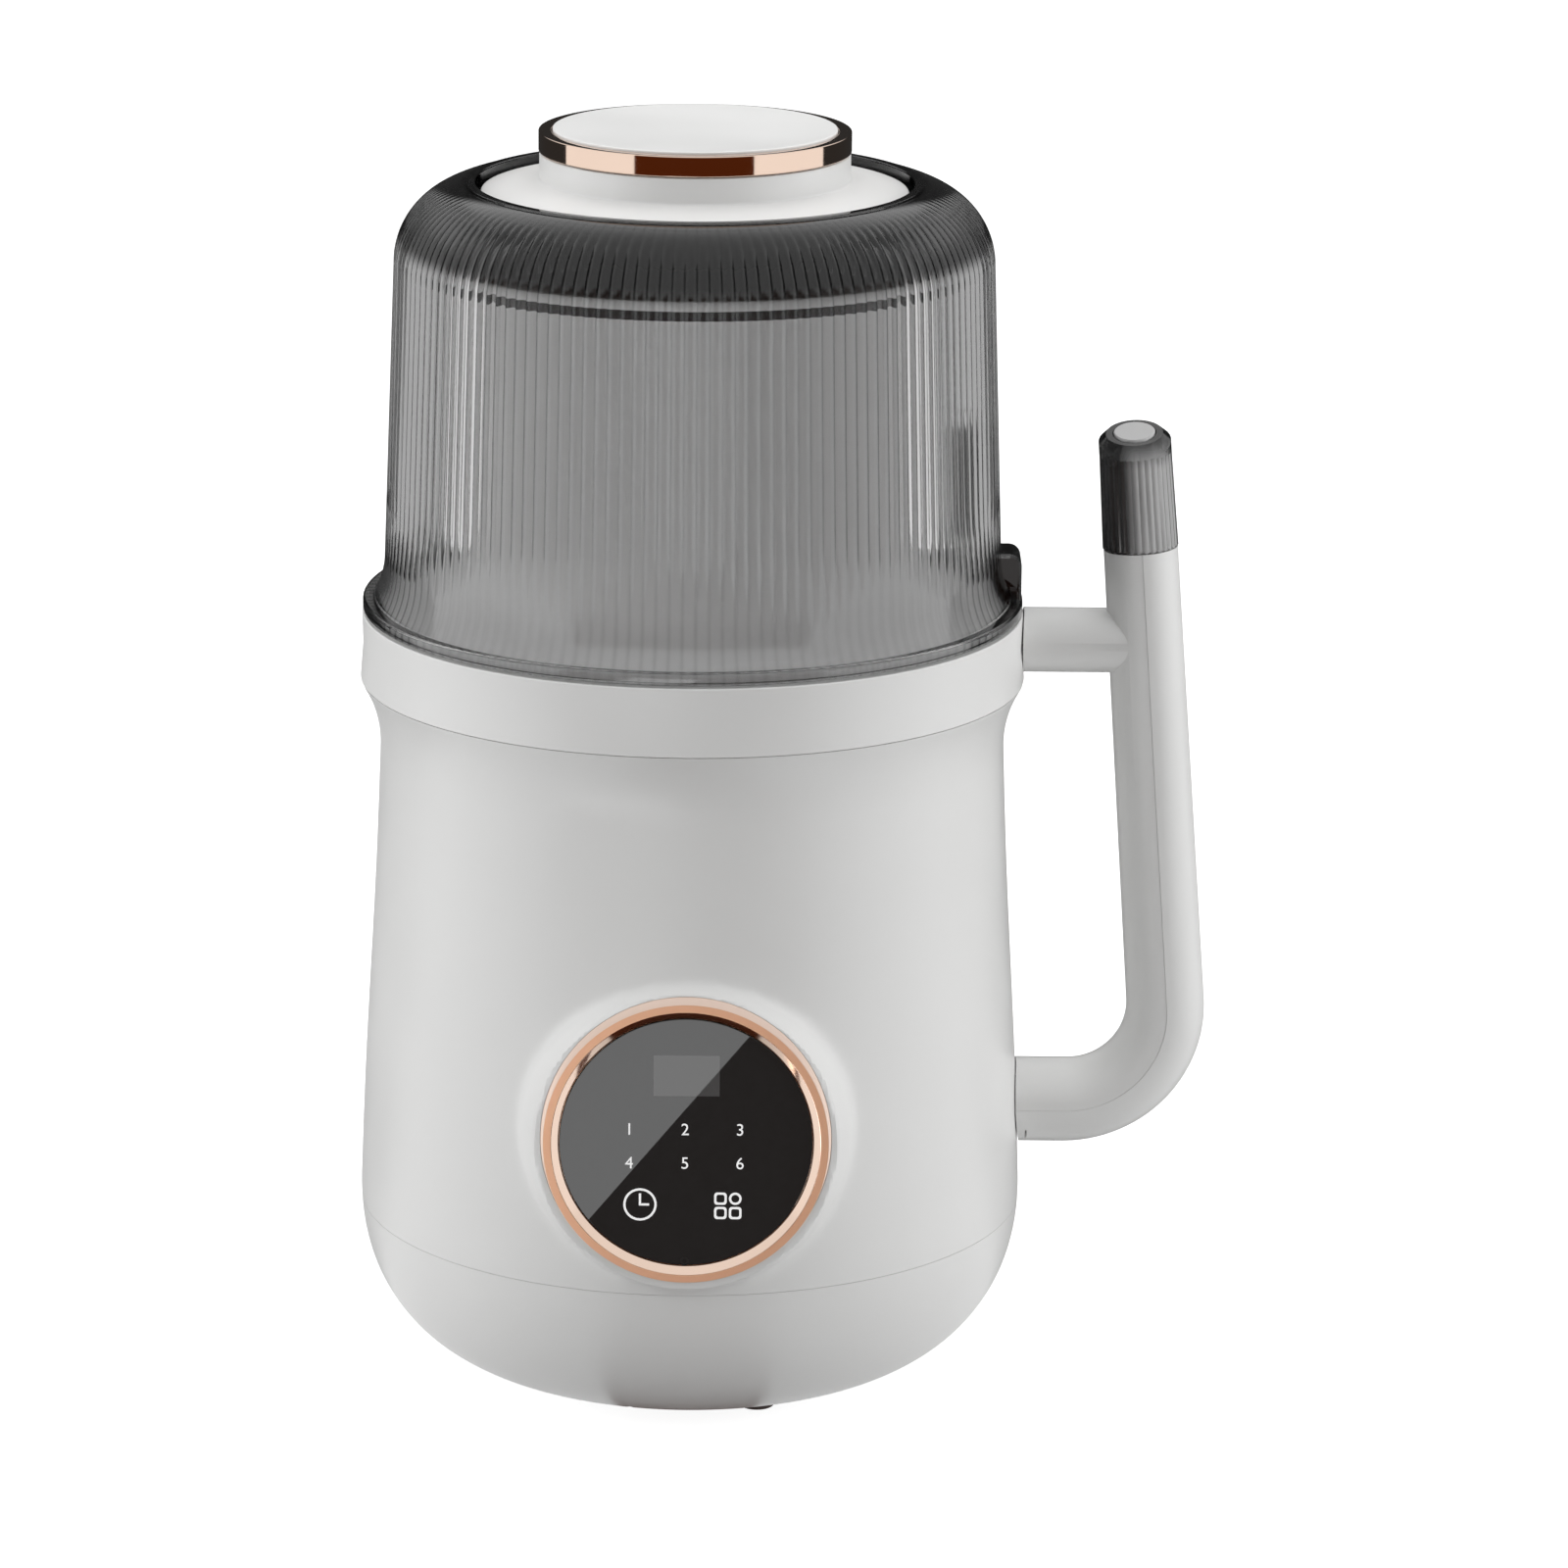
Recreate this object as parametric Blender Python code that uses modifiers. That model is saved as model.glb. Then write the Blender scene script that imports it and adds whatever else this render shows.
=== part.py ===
"""Countertop soy milk maker: a pot-bellied heated jug, a fluted smoked hood with
a lift-out lid, a side handle with a start button, and a blade set on a motor.

Metres, +Z up. The origin is on the machine's axis, on the flat pad in the middle
of its underside. The handle points to +X and the round control panel to -Y.
"""
import math

import bmesh
import bpy
from mathutils import Matrix, Vector

# General sizes
GAP = 0.0003            # clearance between neighbouring pieces
OVERRUN = 0.004         # how far a cutter passes the face that it cuts
WALL = 0.0026           # moulded wall of the body and the base pan
BODY_STEPS = 40         # facets round the body, the collar and the hood
RING_STEPS = 28         # facets round a large ring or disc
SMALL_STEPS = 12        # facets round a small turned piece
TINY_STEPS = 8          # facets round a screw or a pin
FLARE_ROWS = 3          # rows of facets up the flare under the collar
TAPER_ROWS = 4          # rows of facets up the body's taper
BELLY_ROWS = 5          # rows of facets down the rounded belly
PAN_ROWS = 3            # the same, inside the base pan
WELD = 0.00001          # points closer than this are one point

# Body outline, from the underside up to the collar
BELLY_R = 0.0849
BELLY_Z = 0.0472
UNDERSIDE_R = 0.040
PAD_R = 0.030
PAD_STEP = 0.0008
SEAM_DROP = 0.0034      # the base seam lies this far below the belly's widest line
WAIST_IN = 0.0057
WAIST_R = BELLY_R - WAIST_IN
TAPER_H = 0.1167
FLARE_H = 0.0171
FLARE_ARC = 0.0323
COLLAR_H = 0.0170
COLLAR_TOP_IN = 0.0013
COLLAR_TOP_R = BELLY_R - COLLAR_TOP_IN
BELLY_POWER = 2.2       # exponent of the belly's rounded outline
TAPER_SOFT_SHARE = 0.25
TONGUE_H = 0.0022
TONGUE_T = 0.0012
SHELL_LIP_W = 0.0062
SHELL_LIP_T = 0.0030
SHARP_ANGLE = math.radians(35.0)

# Underside: feet, screws and vents
FOOT_R = 0.0045
FOOT_DROP = 0.0020
FOOT_SINK = 0.0011
FOOT_RING_R = 0.0420
FOOT_COUNT = 4
FOOT_TURN = math.radians(25.0)
SCREW_R = 0.0016
SCREW_HEAD_R = 0.0032
SCREW_HEAD_T = 0.0014
SCREW_SINK = 0.0016
SCREW_CROWN_SHARE = 0.8
BASE_SCREW_L = 0.0120
ARM_SCREW_L = 0.0120
VENTS_PER_SIDE = 2
VENT_IN_R = 0.0500
VENT_L = 0.0120
VENT_W = 0.0022
VENT_STEP = math.radians(12.0)

# Collar ring, jug and its seals
COLLAR_WALL = 0.0033
COLLAR_IN_R = COLLAR_TOP_R - COLLAR_WALL
COLLAR_FOOT_W = 0.0100
COLLAR_FOOT_T = 0.0025
LEDGE_DROP = 0.0043
LEDGE_T = 0.0030
LEDGE_W = 0.0138
LEDGE_IN_R = COLLAR_IN_R - LEDGE_W
CUP_WALL = 0.0012
CUP_SPACE = 0.0025
CUP_TOP_R = LEDGE_IN_R - CUP_SPACE
CUP_DRAFT = 0.0028
CUP_FLOOR_R = CUP_TOP_R - CUP_DRAFT
CUP_DEPTH_LESS = 0.0518  # the jug is this much shallower than body and collar
CUP_DEPTH = TAPER_H + FLARE_H + COLLAR_H - CUP_DEPTH_LESS
CUP_CORNER_R = 0.0160
CUP_RIM_W = 0.0154
CUP_HOLE_R = 0.0090
CUP_GASKET_T = 0.0012
CUP_GASKET_W = 0.0060
HEATER_R = 0.0420
HEATER_T = 0.0040
HEATER_W = 0.0180
THERMOSTAT_R = 0.0075
THERMOSTAT_H = 0.0080
SEAL_FLANGE_R = 0.0120
SEAL_FLANGE_T = 0.0020
SEAL_SKIRT = 0.0080

# Motor and drive
SHAFT_R = 0.0030
BEARING_R = 0.0090
BEARING_H = 0.0060
BEARING_BOSS_W = 0.0030
FAN_Z = 0.0120
FAN_H = 0.0090
FAN_R = 0.0270
FAN_HUB_R = 0.0080
FAN_VANE_W = 0.0030
FAN_VANES = 9
STATOR_Z = 0.0280
STATOR_H = 0.0320
STATOR_W = 0.0600
STATOR_CORNER = 0.0090
ROTOR_R = 0.0157
AIR_GAP = 0.0008
ROTOR_PROUD = 0.0010
CHASSIS_T = 0.0030
CHASSIS_HOLE_R = 0.0200
PILLAR_R = 0.0045
BRACKET_R = 0.0300
BRACKET_T = 0.0030
BRACKET_NECK_H = 0.0165
BRACKET_BORE_EXTRA = 0.0006

# Blade set
HUB_R = 0.0090
HUB_H = 0.0045
HUB_CLEAR = 0.0012
BLADE_T = 0.0012
BLADE_L = 0.0270
BLADE_ROOT_W = 0.0150
BLADE_TIP_W = 0.0080
BLADE_KNEE_SHARE = 0.38
UPPER_RISE = 0.0120
LOWER_DROP = 0.0025
NUT_R = 0.0055
NUT_H = 0.0060
NUT_SIDES = 6

# Electronics
BOARD_T = 0.0016
POWER_BOARD_W = 0.0520
POWER_BOARD_D = 0.0280
POWER_BOARD_IN = 0.0329
POWER_BOARD_Y = BELLY_R - POWER_BOARD_IN
CAPACITOR_R = 0.0050
CAPACITOR_H = 0.0150
RELAY_W = 0.0150
RELAY_H = 0.0110
RELAY_OFFSET = 0.0140
SENSOR_W = 0.0080
SENSOR_H = 0.0045
SENSOR_D = 0.0060
SENSOR_Y = 0.0100
SENSOR_IN = 0.0030

# Control panel, measured in its own frame: the front plane is its height zero
PANEL_OUT = 0.0031
PANEL_Y = -BELLY_R - PANEL_OUT
PANEL_TILT = math.radians(3.8)
PANEL_R = 0.0357
PANEL_MARGIN = 0.0050    # from the base seam up to the panel's rim
PANEL_Z = BELLY_Z - SEAM_DROP + PANEL_MARGIN + PANEL_R
BAND_W = 0.0023
BAND_PROUD = 0.0006
BEVEL_W = 0.0020
BEVEL_H = 0.0014
GLASS_T = 0.0012
RING_LEDGE_W = 0.0024
RING_LEDGE_T = 0.0016
RING_EDGE = 0.0004
BOSS_LIP_W = 0.0016
BOSS_FLARE_W = 0.0050
BOSS_DEPTH = 0.0200
BOSS_ROUND = 0.0012
DISPLAY_W = 0.0162
DISPLAY_H = 0.0107
DISPLAY_RISE = 0.0173
BOARD_SHOULDER = 0.0010

# Power inlet, low in the middle of the back
INLET_Z = 0.0840
INLET_W = 0.0300
INLET_H = 0.0220
INLET_CORNER = 0.0040
INLET_DEPTH = 0.0180
INLET_PROUD = 0.0010
INLET_WALL = 0.0030
INLET_RECESS = 0.0140
INSERT_T = 0.0015
PIN_W = 0.0040
PIN_T = 0.0020
PIN_L = 0.0080
PIN_SPREAD = 0.0070
PIN_RISE = 0.0035

# Hood
HOOD_SEAT = 0.0006      # dark line between the hood and the collar
HOOD_H = 0.1082
HOOD_WALL = 0.0020
HOOD_FLANGE_IN = 0.0002
HOOD_FLANGE_R = COLLAR_TOP_R - HOOD_FLANGE_IN
HOOD_FLANGE_T = 0.0030
HOOD_FLANGE_W = 0.0026
HOOD_FOOT_IN = 0.0056
HOOD_FOOT_R = HOOD_FLANGE_R - HOOD_FOOT_IN
HOOD_FOOT_H = 0.0140
HOOD_DRAFT = 0.00265
SHOULDER_R = HOOD_FOOT_R - HOOD_DRAFT
SHOULDER_ARC = 0.0199
FLARE_PROUD = 0.00035   # the flare stands proud of the fluted wall, flats of its facets too
FLUTE_COUNT = 120       # the real hood has about 150, closer together
FLUTE_DEPTH = 0.0005
FLUTE_FADE_H = 0.0190
FLUTE_END = math.radians(52.0)
SHOULDER_STOP = math.radians(86.0)
REBATE_W = 0.0044
REBATE_H = 0.0021
LIP_IN = 0.02045
LIP_IN_R = SHOULDER_R - LIP_IN
LIP_W = 0.0026
LIP_RISE = 0.0001
LIP_DROP = 0.0088
LID_LEDGE_W = 0.0032
LID_LEDGE_T = 0.0020
LUG_IN = 0.0005
LUG_REACH = HOOD_FLANGE_R - LUG_IN
LUG_W = 0.0140
LUG_H = 0.0152
LUG_ROOT = 0.0070
LUG_ROUND = 0.0030
MAGNET_W = 0.0070
MAGNET_H = 0.0050
MAGNET_D = 0.0016
MAGNET_IN = 0.0019

# Hood liner and seal
LINER_SPACE = 0.0015
LINER_WALL = 0.0013
LINER_FOOT_T = 0.0014
SEAL_T = 0.0013
SEAL_W = 0.0042

# Lid
LID_SPACE = 0.0013
LID_R = LIP_IN_R - LID_SPACE
LID_EDGE_T = 0.0016
LID_SINK = 0.0018       # the lid's edge lies this far below the hood's top
LID_CONE_RISE = 0.0031
LID_RIM_W = 0.0146
KNOB_SKIRT_R = LID_R - LID_RIM_W
KNOB_SKIRT_H = 0.0066
KNOB_OVERHANG = 0.0002
KNOB_R = KNOB_SKIRT_R + KNOB_OVERHANG
KNOB_RING_H = 0.0051
KNOB_EDGE = 0.0006
KNOB_BAND_W = 0.0035
KNOB_CAP_R = KNOB_R - KNOB_BAND_W
KNOB_CAP_SINK = 0.0020
KNOB_CAP_PROUD = 0.0006
KNOB_DISH = 0.0006
KNOB_LEDGE_W = 0.0018
KNOB_SPIGOT_H = 0.0012
LID_SKIRT_IN = 0.0024
LID_SKIRT_R = LID_R - LID_SKIRT_IN
LID_SKIRT_T = 0.0020
LID_SKIRT_H = 0.0066
LID_HOLLOW_IN = 0.0150
LID_HOLLOW_R = LID_SKIRT_R - LID_HOLLOW_IN
LID_GASKET_T = 0.0018

# Handle
HANDLE_OUT = 0.0365
HANDLE_X = BELLY_R + HANDLE_OUT
HANDLE_REF_Z = 0.1024
HANDLE_LEAN = math.radians(4.26)
HANDLE_TOP_RISE = 0.0169  # above the collar's top
TUBE_TOP_R = 0.0096
TUBE_LOW_R = 0.0102
ARM_R = 0.0111
ARM_Z = 0.0685
ARM_IN = 0.0080
BEND_R = 0.0255
CROSSBAR_R = 0.00825
CROSSBAR_RISE = 0.0093   # above the collar's foot
ARM_SCREW_RISE = 0.0045
BAR_SCREW_DROP = 0.0028
TUBE_FACETS = 4
BEND_POINTS = 8
SWITCH_BORE_R = 0.0052
SWITCH_BORE_H = 0.0140
SWITCH_W = 0.0060
SWITCH_H = 0.0100
SWITCH_PIN_R = 0.0014
SWITCH_PIN_H = 0.0050

# Handle cap and start button, measured up the handle's own axis
CAP_H = 0.0242
CAP_TOP_R = 0.00915
CAP_WALL = 0.0018
CAP_ROOF_T = 0.0022
CAP_CROWN_H = 0.0050
CROWN_R = 0.0072
CROWN_TILT = math.radians(14.5)
CAP_FLUTES = 20
CAP_FLUTE_DEPTH = 0.0003
BUTTON_R = 0.0052
BUTTON_PROUD = 0.0005
BUTTON_FLANGE_W = 0.0012
BUTTON_FLANGE_T = 0.0012
STEM_R = 0.0023
BUTTON_TRAVEL = 0.0015
GUIDE_R = 0.0046
GUIDE_H = 0.0140
GUIDE_FLANGE_R = 0.0072
GUIDE_FLANGE_T = 0.0020
STEM_END_Z = 0.0060
SPRING_WIRE_R = 0.00035
SPRING_SPACE = 0.0006
SPRING_TURNS = 4
SPRING_POINTS = 7

# Heights and radii that follow from the sizes above
UNDERSIDE_Z = PAD_STEP
BELLY_WIDTH = BELLY_R - UNDERSIDE_R
BELLY_HEIGHT = BELLY_Z - UNDERSIDE_Z
SEAM_Z = BELLY_Z - SEAM_DROP
WAIST_Z = BELLY_Z + TAPER_H
SHELL_TOP_Z = WAIST_Z + FLARE_H
COLLAR_Z = SHELL_TOP_Z + GAP
COLLAR_TOP_Z = COLLAR_Z + COLLAR_H
LEDGE_Z = COLLAR_TOP_Z - LEDGE_DROP
PAN_FLOOR_Z = UNDERSIDE_Z + WALL
CUP_RIM_Z = LEDGE_Z + CUP_GASKET_T + GAP + GAP
CUP_RIM_TOP_Z = CUP_RIM_Z + CUP_WALL
CUP_FLOOR_Z = CUP_RIM_TOP_Z - CUP_DEPTH
CUP_INSIDE_Z = CUP_FLOOR_Z + CUP_WALL
CUP_RIM_R = CUP_TOP_R + CUP_RIM_W
CHASSIS_Z = STATOR_Z + STATOR_H + GAP
CHASSIS_TOP_Z = CHASSIS_Z + CHASSIS_T
BRACKET_Z = CHASSIS_TOP_Z + GAP
BRACKET_TOP_Z = BRACKET_Z + BRACKET_NECK_H
BORE_R = SHAFT_R + GAP
BLADE_HUB_Z = CUP_INSIDE_Z + GAP + SEAL_FLANGE_T + HUB_CLEAR
LOWER_BLADE_Z = BLADE_HUB_Z + HUB_H + GAP
UPPER_BLADE_Z = LOWER_BLADE_Z + BLADE_T + GAP
NUT_Z = UPPER_BLADE_Z + BLADE_T + GAP
SHAFT_TOP_Z = NUT_Z + NUT_H / 2
RING_BACK = BAND_PROUD - BEVEL_H - GLASS_T - GAP - GAP - RING_LEDGE_T
GLASS_R = PANEL_R - BAND_W - BEVEL_W - GAP
HOOD_Z = COLLAR_TOP_Z + HOOD_SEAT
HOOD_TOP_Z = HOOD_Z + HOOD_H
HOOD_FLANGE_Z = HOOD_Z + HOOD_FLANGE_T
HOOD_FOOT_Z = HOOD_Z + HOOD_FOOT_H
SHOULDER_Z = HOOD_TOP_Z - SHOULDER_ARC
REBATE_R = HOOD_FLANGE_R - REBATE_W
REBATE_Z = HOOD_Z + REBATE_H
LIP_R = LIP_IN_R + LIP_W
LID_LEDGE_Z = HOOD_TOP_Z - LIP_DROP
LID_LEDGE_R = LIP_IN_R - LID_LEDGE_W
SEAL_Z = CUP_RIM_TOP_Z + GAP
LINER_Z = SEAL_Z + SEAL_T + GAP
LINER_TOP_Z = SHOULDER_Z
LID_Z = HOOD_TOP_Z - LID_SINK - LID_EDGE_T
LID_TOP_Z = LID_Z + LID_EDGE_T
KNOB_SKIRT_Z = LID_TOP_Z + LID_CONE_RISE
KNOB_Z = KNOB_SKIRT_Z + KNOB_SKIRT_H
CROSSBAR_Z = COLLAR_Z + CROSSBAR_RISE
HANDLE_TOP_Z = COLLAR_TOP_Z + HANDLE_TOP_RISE
HANDLE_DIR = Vector((-math.sin(HANDLE_LEAN), 0.0, math.cos(HANDLE_LEAN)))
HANDLE_REF = Vector((HANDLE_X, 0.0, HANDLE_REF_Z))
ROOF_Z = CAP_H - CAP_ROOF_T

# Finishes: base colour, roughness, metallic
FINISHES = {
    "white_shell": ((0.78, 0.78, 0.78), 0.38, 0.0),
    "light_grey_liner": ((0.42, 0.42, 0.42), 0.55, 0.0),
    "smoked_clear": ((0.10, 0.10, 0.105), 0.12, 0.0),
    "rose_gold": ((0.72, 0.46, 0.34), 0.18, 1.0),
    "panel_black": ((0.012, 0.013, 0.014), 0.08, 0.0),
    "dark_moulding": ((0.03, 0.03, 0.032), 0.50, 0.0),
    "button_grey": ((0.45, 0.45, 0.45), 0.40, 0.0),
    "silicone_black": ((0.02, 0.02, 0.02), 0.65, 0.0),
    "stainless": ((0.62, 0.62, 0.62), 0.25, 1.0),
    "steel_dark": ((0.30, 0.30, 0.31), 0.40, 1.0),
    "board_green": ((0.03, 0.16, 0.08), 0.50, 0.0),
    "foot_brown": ((0.06, 0.04, 0.035), 0.70, 0.0),
}


def clear_scene():
    for old in list(bpy.data.objects):
        bpy.data.objects.remove(old, do_unlink=True)


def new_collection(name):
    group = bpy.data.collections.new(name)
    bpy.context.scene.collection.children.link(group)
    return group


clear_scene()
PARTS = new_collection("soy_milk_maker")
CUTTERS = new_collection("cutters")


def finish(name):
    """One Principled material for each finish, made the first time it is asked for."""
    if name in bpy.data.materials:
        return bpy.data.materials[name]
    colour, roughness, metallic = FINISHES[name]
    made = bpy.data.materials.new(name)
    made.use_nodes = True
    shader = made.node_tree.nodes["Principled BSDF"]
    shader.inputs["Base Color"].default_value = (*colour, 1.0)
    shader.inputs["Roughness"].default_value = roughness
    shader.inputs["Metallic"].default_value = metallic
    made.diffuse_color = (*colour, 1.0)
    return made


def as_part(thing, finish_name):
    """File an object as a piece of the machine, with its finish and smooth shading."""
    for group in list(thing.users_collection):
        group.objects.unlink(thing)
    PARTS.objects.link(thing)
    thing.hide_render = False
    thing.display_type = "TEXTURED"
    thing.data.materials.clear()
    thing.data.materials.append(finish(finish_name))
    if isinstance(thing.data, bpy.types.Mesh) and thing.data.polygons:
        thing.data.shade_smooth()
        thing.data.set_sharp_from_angle(angle=SHARP_ANGLE)
    return thing


def as_cutter(thing):
    for group in list(thing.users_collection):
        group.objects.unlink(thing)
    CUTTERS.objects.link(thing)
    thing.hide_render = True
    thing.display_type = "WIRE"
    return thing


def object_from(name, bm, place=None):
    mesh = bpy.data.meshes.new(name)
    bm.to_mesh(mesh)
    bm.free()
    thing = bpy.data.objects.new(name, mesh)
    CUTTERS.objects.link(thing)
    thing.matrix_world = place if place else Matrix.Identity(4)
    return thing


def turned(name, outline, steps, closed=False, place=None):
    """Turn an outline of (radius, height) points about Z with a Screw modifier.

    An open outline starts and ends on the axis and runs down the outer side. A
    closed one runs down its outer side and back up its inner side.
    """
    bm = bmesh.new()
    points = [bm.verts.new((radius, 0.0, height)) for radius, height in outline]
    for start, end in zip(points, points[1:]):
        bm.edges.new((start, end))
    if closed:
        bm.edges.new((points[-1], points[0]))
    thing = object_from(name, bm, place)
    screw = thing.modifiers.new("turn", "SCREW")
    screw.steps = steps
    screw.render_steps = steps
    screw.use_merge_vertices = True
    screw.merge_threshold = WELD
    screw.use_smooth_shade = True
    return thing


def ring(name, outer_r, inner_r, low, high, steps, place=None):
    outline = [(outer_r, high), (outer_r, low), (inner_r, low), (inner_r, high)]
    return turned(name, outline, steps, closed=True, place=place)


def disc(name, radius, low, high, steps, place=None):
    outline = [(0.0, high), (radius, high), (radius, low), (0.0, low)]
    return turned(name, outline, steps, place=place)


def block(name, size, centre, place=None):
    bm = bmesh.new()
    bmesh.ops.create_cube(bm, size=1.0)
    bmesh.ops.scale(bm, vec=size, verts=bm.verts)
    bmesh.ops.translate(bm, vec=centre, verts=bm.verts)
    return object_from(name, bm, place)


def solidified(thing):
    """Replace an object by the mesh that its modifiers or curve settings give."""
    bpy.context.view_layer.update()
    graph = bpy.context.evaluated_depsgraph_get()
    mesh = bpy.data.meshes.new_from_object(thing.evaluated_get(graph))
    bm = bmesh.new()
    bm.from_mesh(mesh)
    bmesh.ops.remove_doubles(bm, verts=bm.verts, dist=WELD)
    bm.to_mesh(mesh)
    bm.free()
    name = thing.name
    place = thing.matrix_world.copy()
    bpy.data.objects.remove(thing, do_unlink=True)
    mesh.name = name
    made = bpy.data.objects.new(name, mesh)
    CUTTERS.objects.link(made)
    made.matrix_world = place
    return made


def plate(name, outline, low, high, place=None):
    """Extrude a flat outline of (x, y) points between two heights."""
    curve = bpy.data.curves.new(name, "CURVE")
    curve.dimensions = "2D"
    curve.fill_mode = "BOTH"
    curve.extrude = (high - low) / 2
    spline = curve.splines.new("POLY")
    spline.points.add(len(outline) - 1)
    for point, (x, y) in zip(spline.points, outline):
        point.co = (x, y, 0.0, 1.0)
    spline.use_cyclic_u = True
    thing = bpy.data.objects.new(name, curve)
    CUTTERS.objects.link(thing)
    lift = Matrix.Translation((0.0, 0.0, (high + low) / 2))
    thing.matrix_world = (place if place else Matrix.Identity(4)) @ lift
    return solidified(thing)


def boolean(thing, other, operation):
    as_cutter(other)
    change = thing.modifiers.new(other.name, "BOOLEAN")
    change.operation = operation
    change.solver = "EXACT"
    change.object = other
    return thing


def cut(thing, other):
    return boolean(thing, other, "DIFFERENCE")


def join(thing, other):
    return boolean(thing, other, "UNION")


def overlap_with(thing, other):
    return boolean(thing, other, "INTERSECT")


def arc(centre_r, centre_z, radius, start, end, count):
    """Points on a round stretch, from one angle above the horizontal to another."""
    turns = [start + (end - start) * i / count for i in range(count + 1)]
    return [(centre_r + radius * math.cos(t), centre_z + radius * math.sin(t)) for t in turns]


def rounded_box(width, height, corner, count=2):
    """Outline of a rectangle with round corners, centred on zero."""
    points = []
    for quarter in range(4):
        side_x = 1 if quarter in (0, 3) else -1
        side_y = 1 if quarter in (0, 1) else -1
        centre_x = side_x * (width / 2 - corner)
        centre_y = side_y * (height / 2 - corner)
        start = quarter * math.pi / 2
        points += arc(centre_x, centre_y, corner, start, start + math.pi / 2, count)
    return points


def spot(radius, angle):
    """A place on a circle round the axis, with angle zero at the front, -Y."""
    return (radius * math.sin(angle), -radius * math.cos(angle))


def upright(x, y, turn=0.0):
    return Matrix.Translation((x, y, 0.0)) @ Matrix.Rotation(turn, 4, "Z")


def along_x(x, y, z):
    """A frame whose own Z runs along +X, for screws that enter from inside."""
    return Matrix.Translation((x, y, z)) @ Matrix.Rotation(math.pi / 2, 4, "Y")


def panel_frame():
    turn = Matrix.Rotation(math.pi / 2 - PANEL_TILT, 4, "X")
    return Matrix.Translation((0.0, PANEL_Y, PANEL_Z)) @ turn


def handle_frame():
    """Origin where the cap meets the tube, Z up the handle's leaning axis."""
    rise = (HANDLE_TOP_Z - HANDLE_REF_Z) / HANDLE_DIR.z
    top = HANDLE_REF + HANDLE_DIR * rise
    return Matrix.Translation(top) @ Matrix.Rotation(-HANDLE_LEAN, 4, "Y")


def half_facet(steps):
    """Turn by half a facet, so that a cutter's corners miss the corners of what it cuts."""
    return Matrix.Rotation(math.pi / steps, 4, "Z")


def facing_y(x, y, z):
    """A frame whose XY plane stands upright, looking back along +Y."""
    return Matrix.Translation((x, y, z)) @ Matrix.Rotation(math.pi / 2, 4, "X")


# Body outline

def belly_radius(z, inset=0.0):
    share = min(max((BELLY_Z - z) / (BELLY_HEIGHT - inset), 0.0), 1.0)
    reach = (1.0 - share ** BELLY_POWER) ** (1.0 / BELLY_POWER)
    return UNDERSIDE_R + (BELLY_WIDTH - inset) * reach


def body_radius(z):
    """Outer radius of the moulded body at a height below its collar."""
    if z <= BELLY_Z:
        return belly_radius(z)
    if z <= WAIST_Z:
        share = (z - BELLY_Z) / TAPER_H
        eased = share - TAPER_SOFT_SHARE * math.sin(2 * math.pi * share) / (2 * math.pi)
        return BELLY_R - (BELLY_R - WAIST_R) * eased
    rise = min(z - WAIST_Z, FLARE_H)
    return WAIST_R + FLARE_ARC - math.sqrt(FLARE_ARC ** 2 - rise ** 2)


def shell_heights():
    """Heights of the body outline's points, from its top down to the base seam."""
    flare = [WAIST_Z + FLARE_H * i / FLARE_ROWS for i in range(FLARE_ROWS, 0, -1)]
    taper = [BELLY_Z + TAPER_H * i / TAPER_ROWS for i in range(TAPER_ROWS, -1, -1)]
    return flare + taper + [SEAM_Z]


def pan_outline(inset, low_z, top_z, count):
    """The belly's rounded outline below the seam, from the seam to the underside."""
    share = (BELLY_Z - top_z) / (BELLY_HEIGHT - inset)
    start = math.asin(share ** (BELLY_POWER / 2))
    points = []
    for i in range(count + 1):
        turn = start + (math.pi / 2 - start) * i / count
        reach = math.cos(turn) ** (2 / BELLY_POWER) if i < count else 0.0
        drop = math.sin(turn) ** (2 / BELLY_POWER)
        radius = UNDERSIDE_R + (BELLY_WIDTH - inset) * reach
        points.append((radius, BELLY_Z - (BELLY_HEIGHT - inset) * drop))
    points[-1] = (UNDERSIDE_R, low_z)
    return points


def pan_floor(radius):
    """Height of the pan's inside at a radius, along the straight facets of its outline."""
    outline = pan_outline(WALL, PAN_FLOOR_Z, SEAM_Z, PAN_ROWS)
    for (outer_r, outer_z), (inner_r, inner_z) in zip(outline, outline[1:]):
        if inner_r <= radius <= outer_r:
            return inner_z + (outer_z - inner_z) * (radius - inner_r) / (outer_r - inner_r)
    return PAN_FLOOR_Z


def body_form(name, extra):
    """Solid with the body's outer form and the collar's, larger by a clearance."""
    collar = [(0.0, COLLAR_TOP_Z + OVERRUN), (COLLAR_TOP_R + extra, COLLAR_TOP_Z + OVERRUN)]
    side = [(body_radius(z) + extra, z) for z in shell_heights()]
    foot = [(side[-1][0], SEAM_Z - OVERRUN), (0.0, SEAM_Z - OVERRUN)]
    shoulder = [(COLLAR_TOP_R + extra, SHELL_TOP_Z + GAP)]
    return turned(name, collar + shoulder + side + foot, BODY_STEPS)


# Base pan and what stands on it

def screw_spots():
    return [spot(FOOT_RING_R, FOOT_TURN + (i + 0.5) * 2 * math.pi / FOOT_COUNT) for i in range(FOOT_COUNT)]


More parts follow.
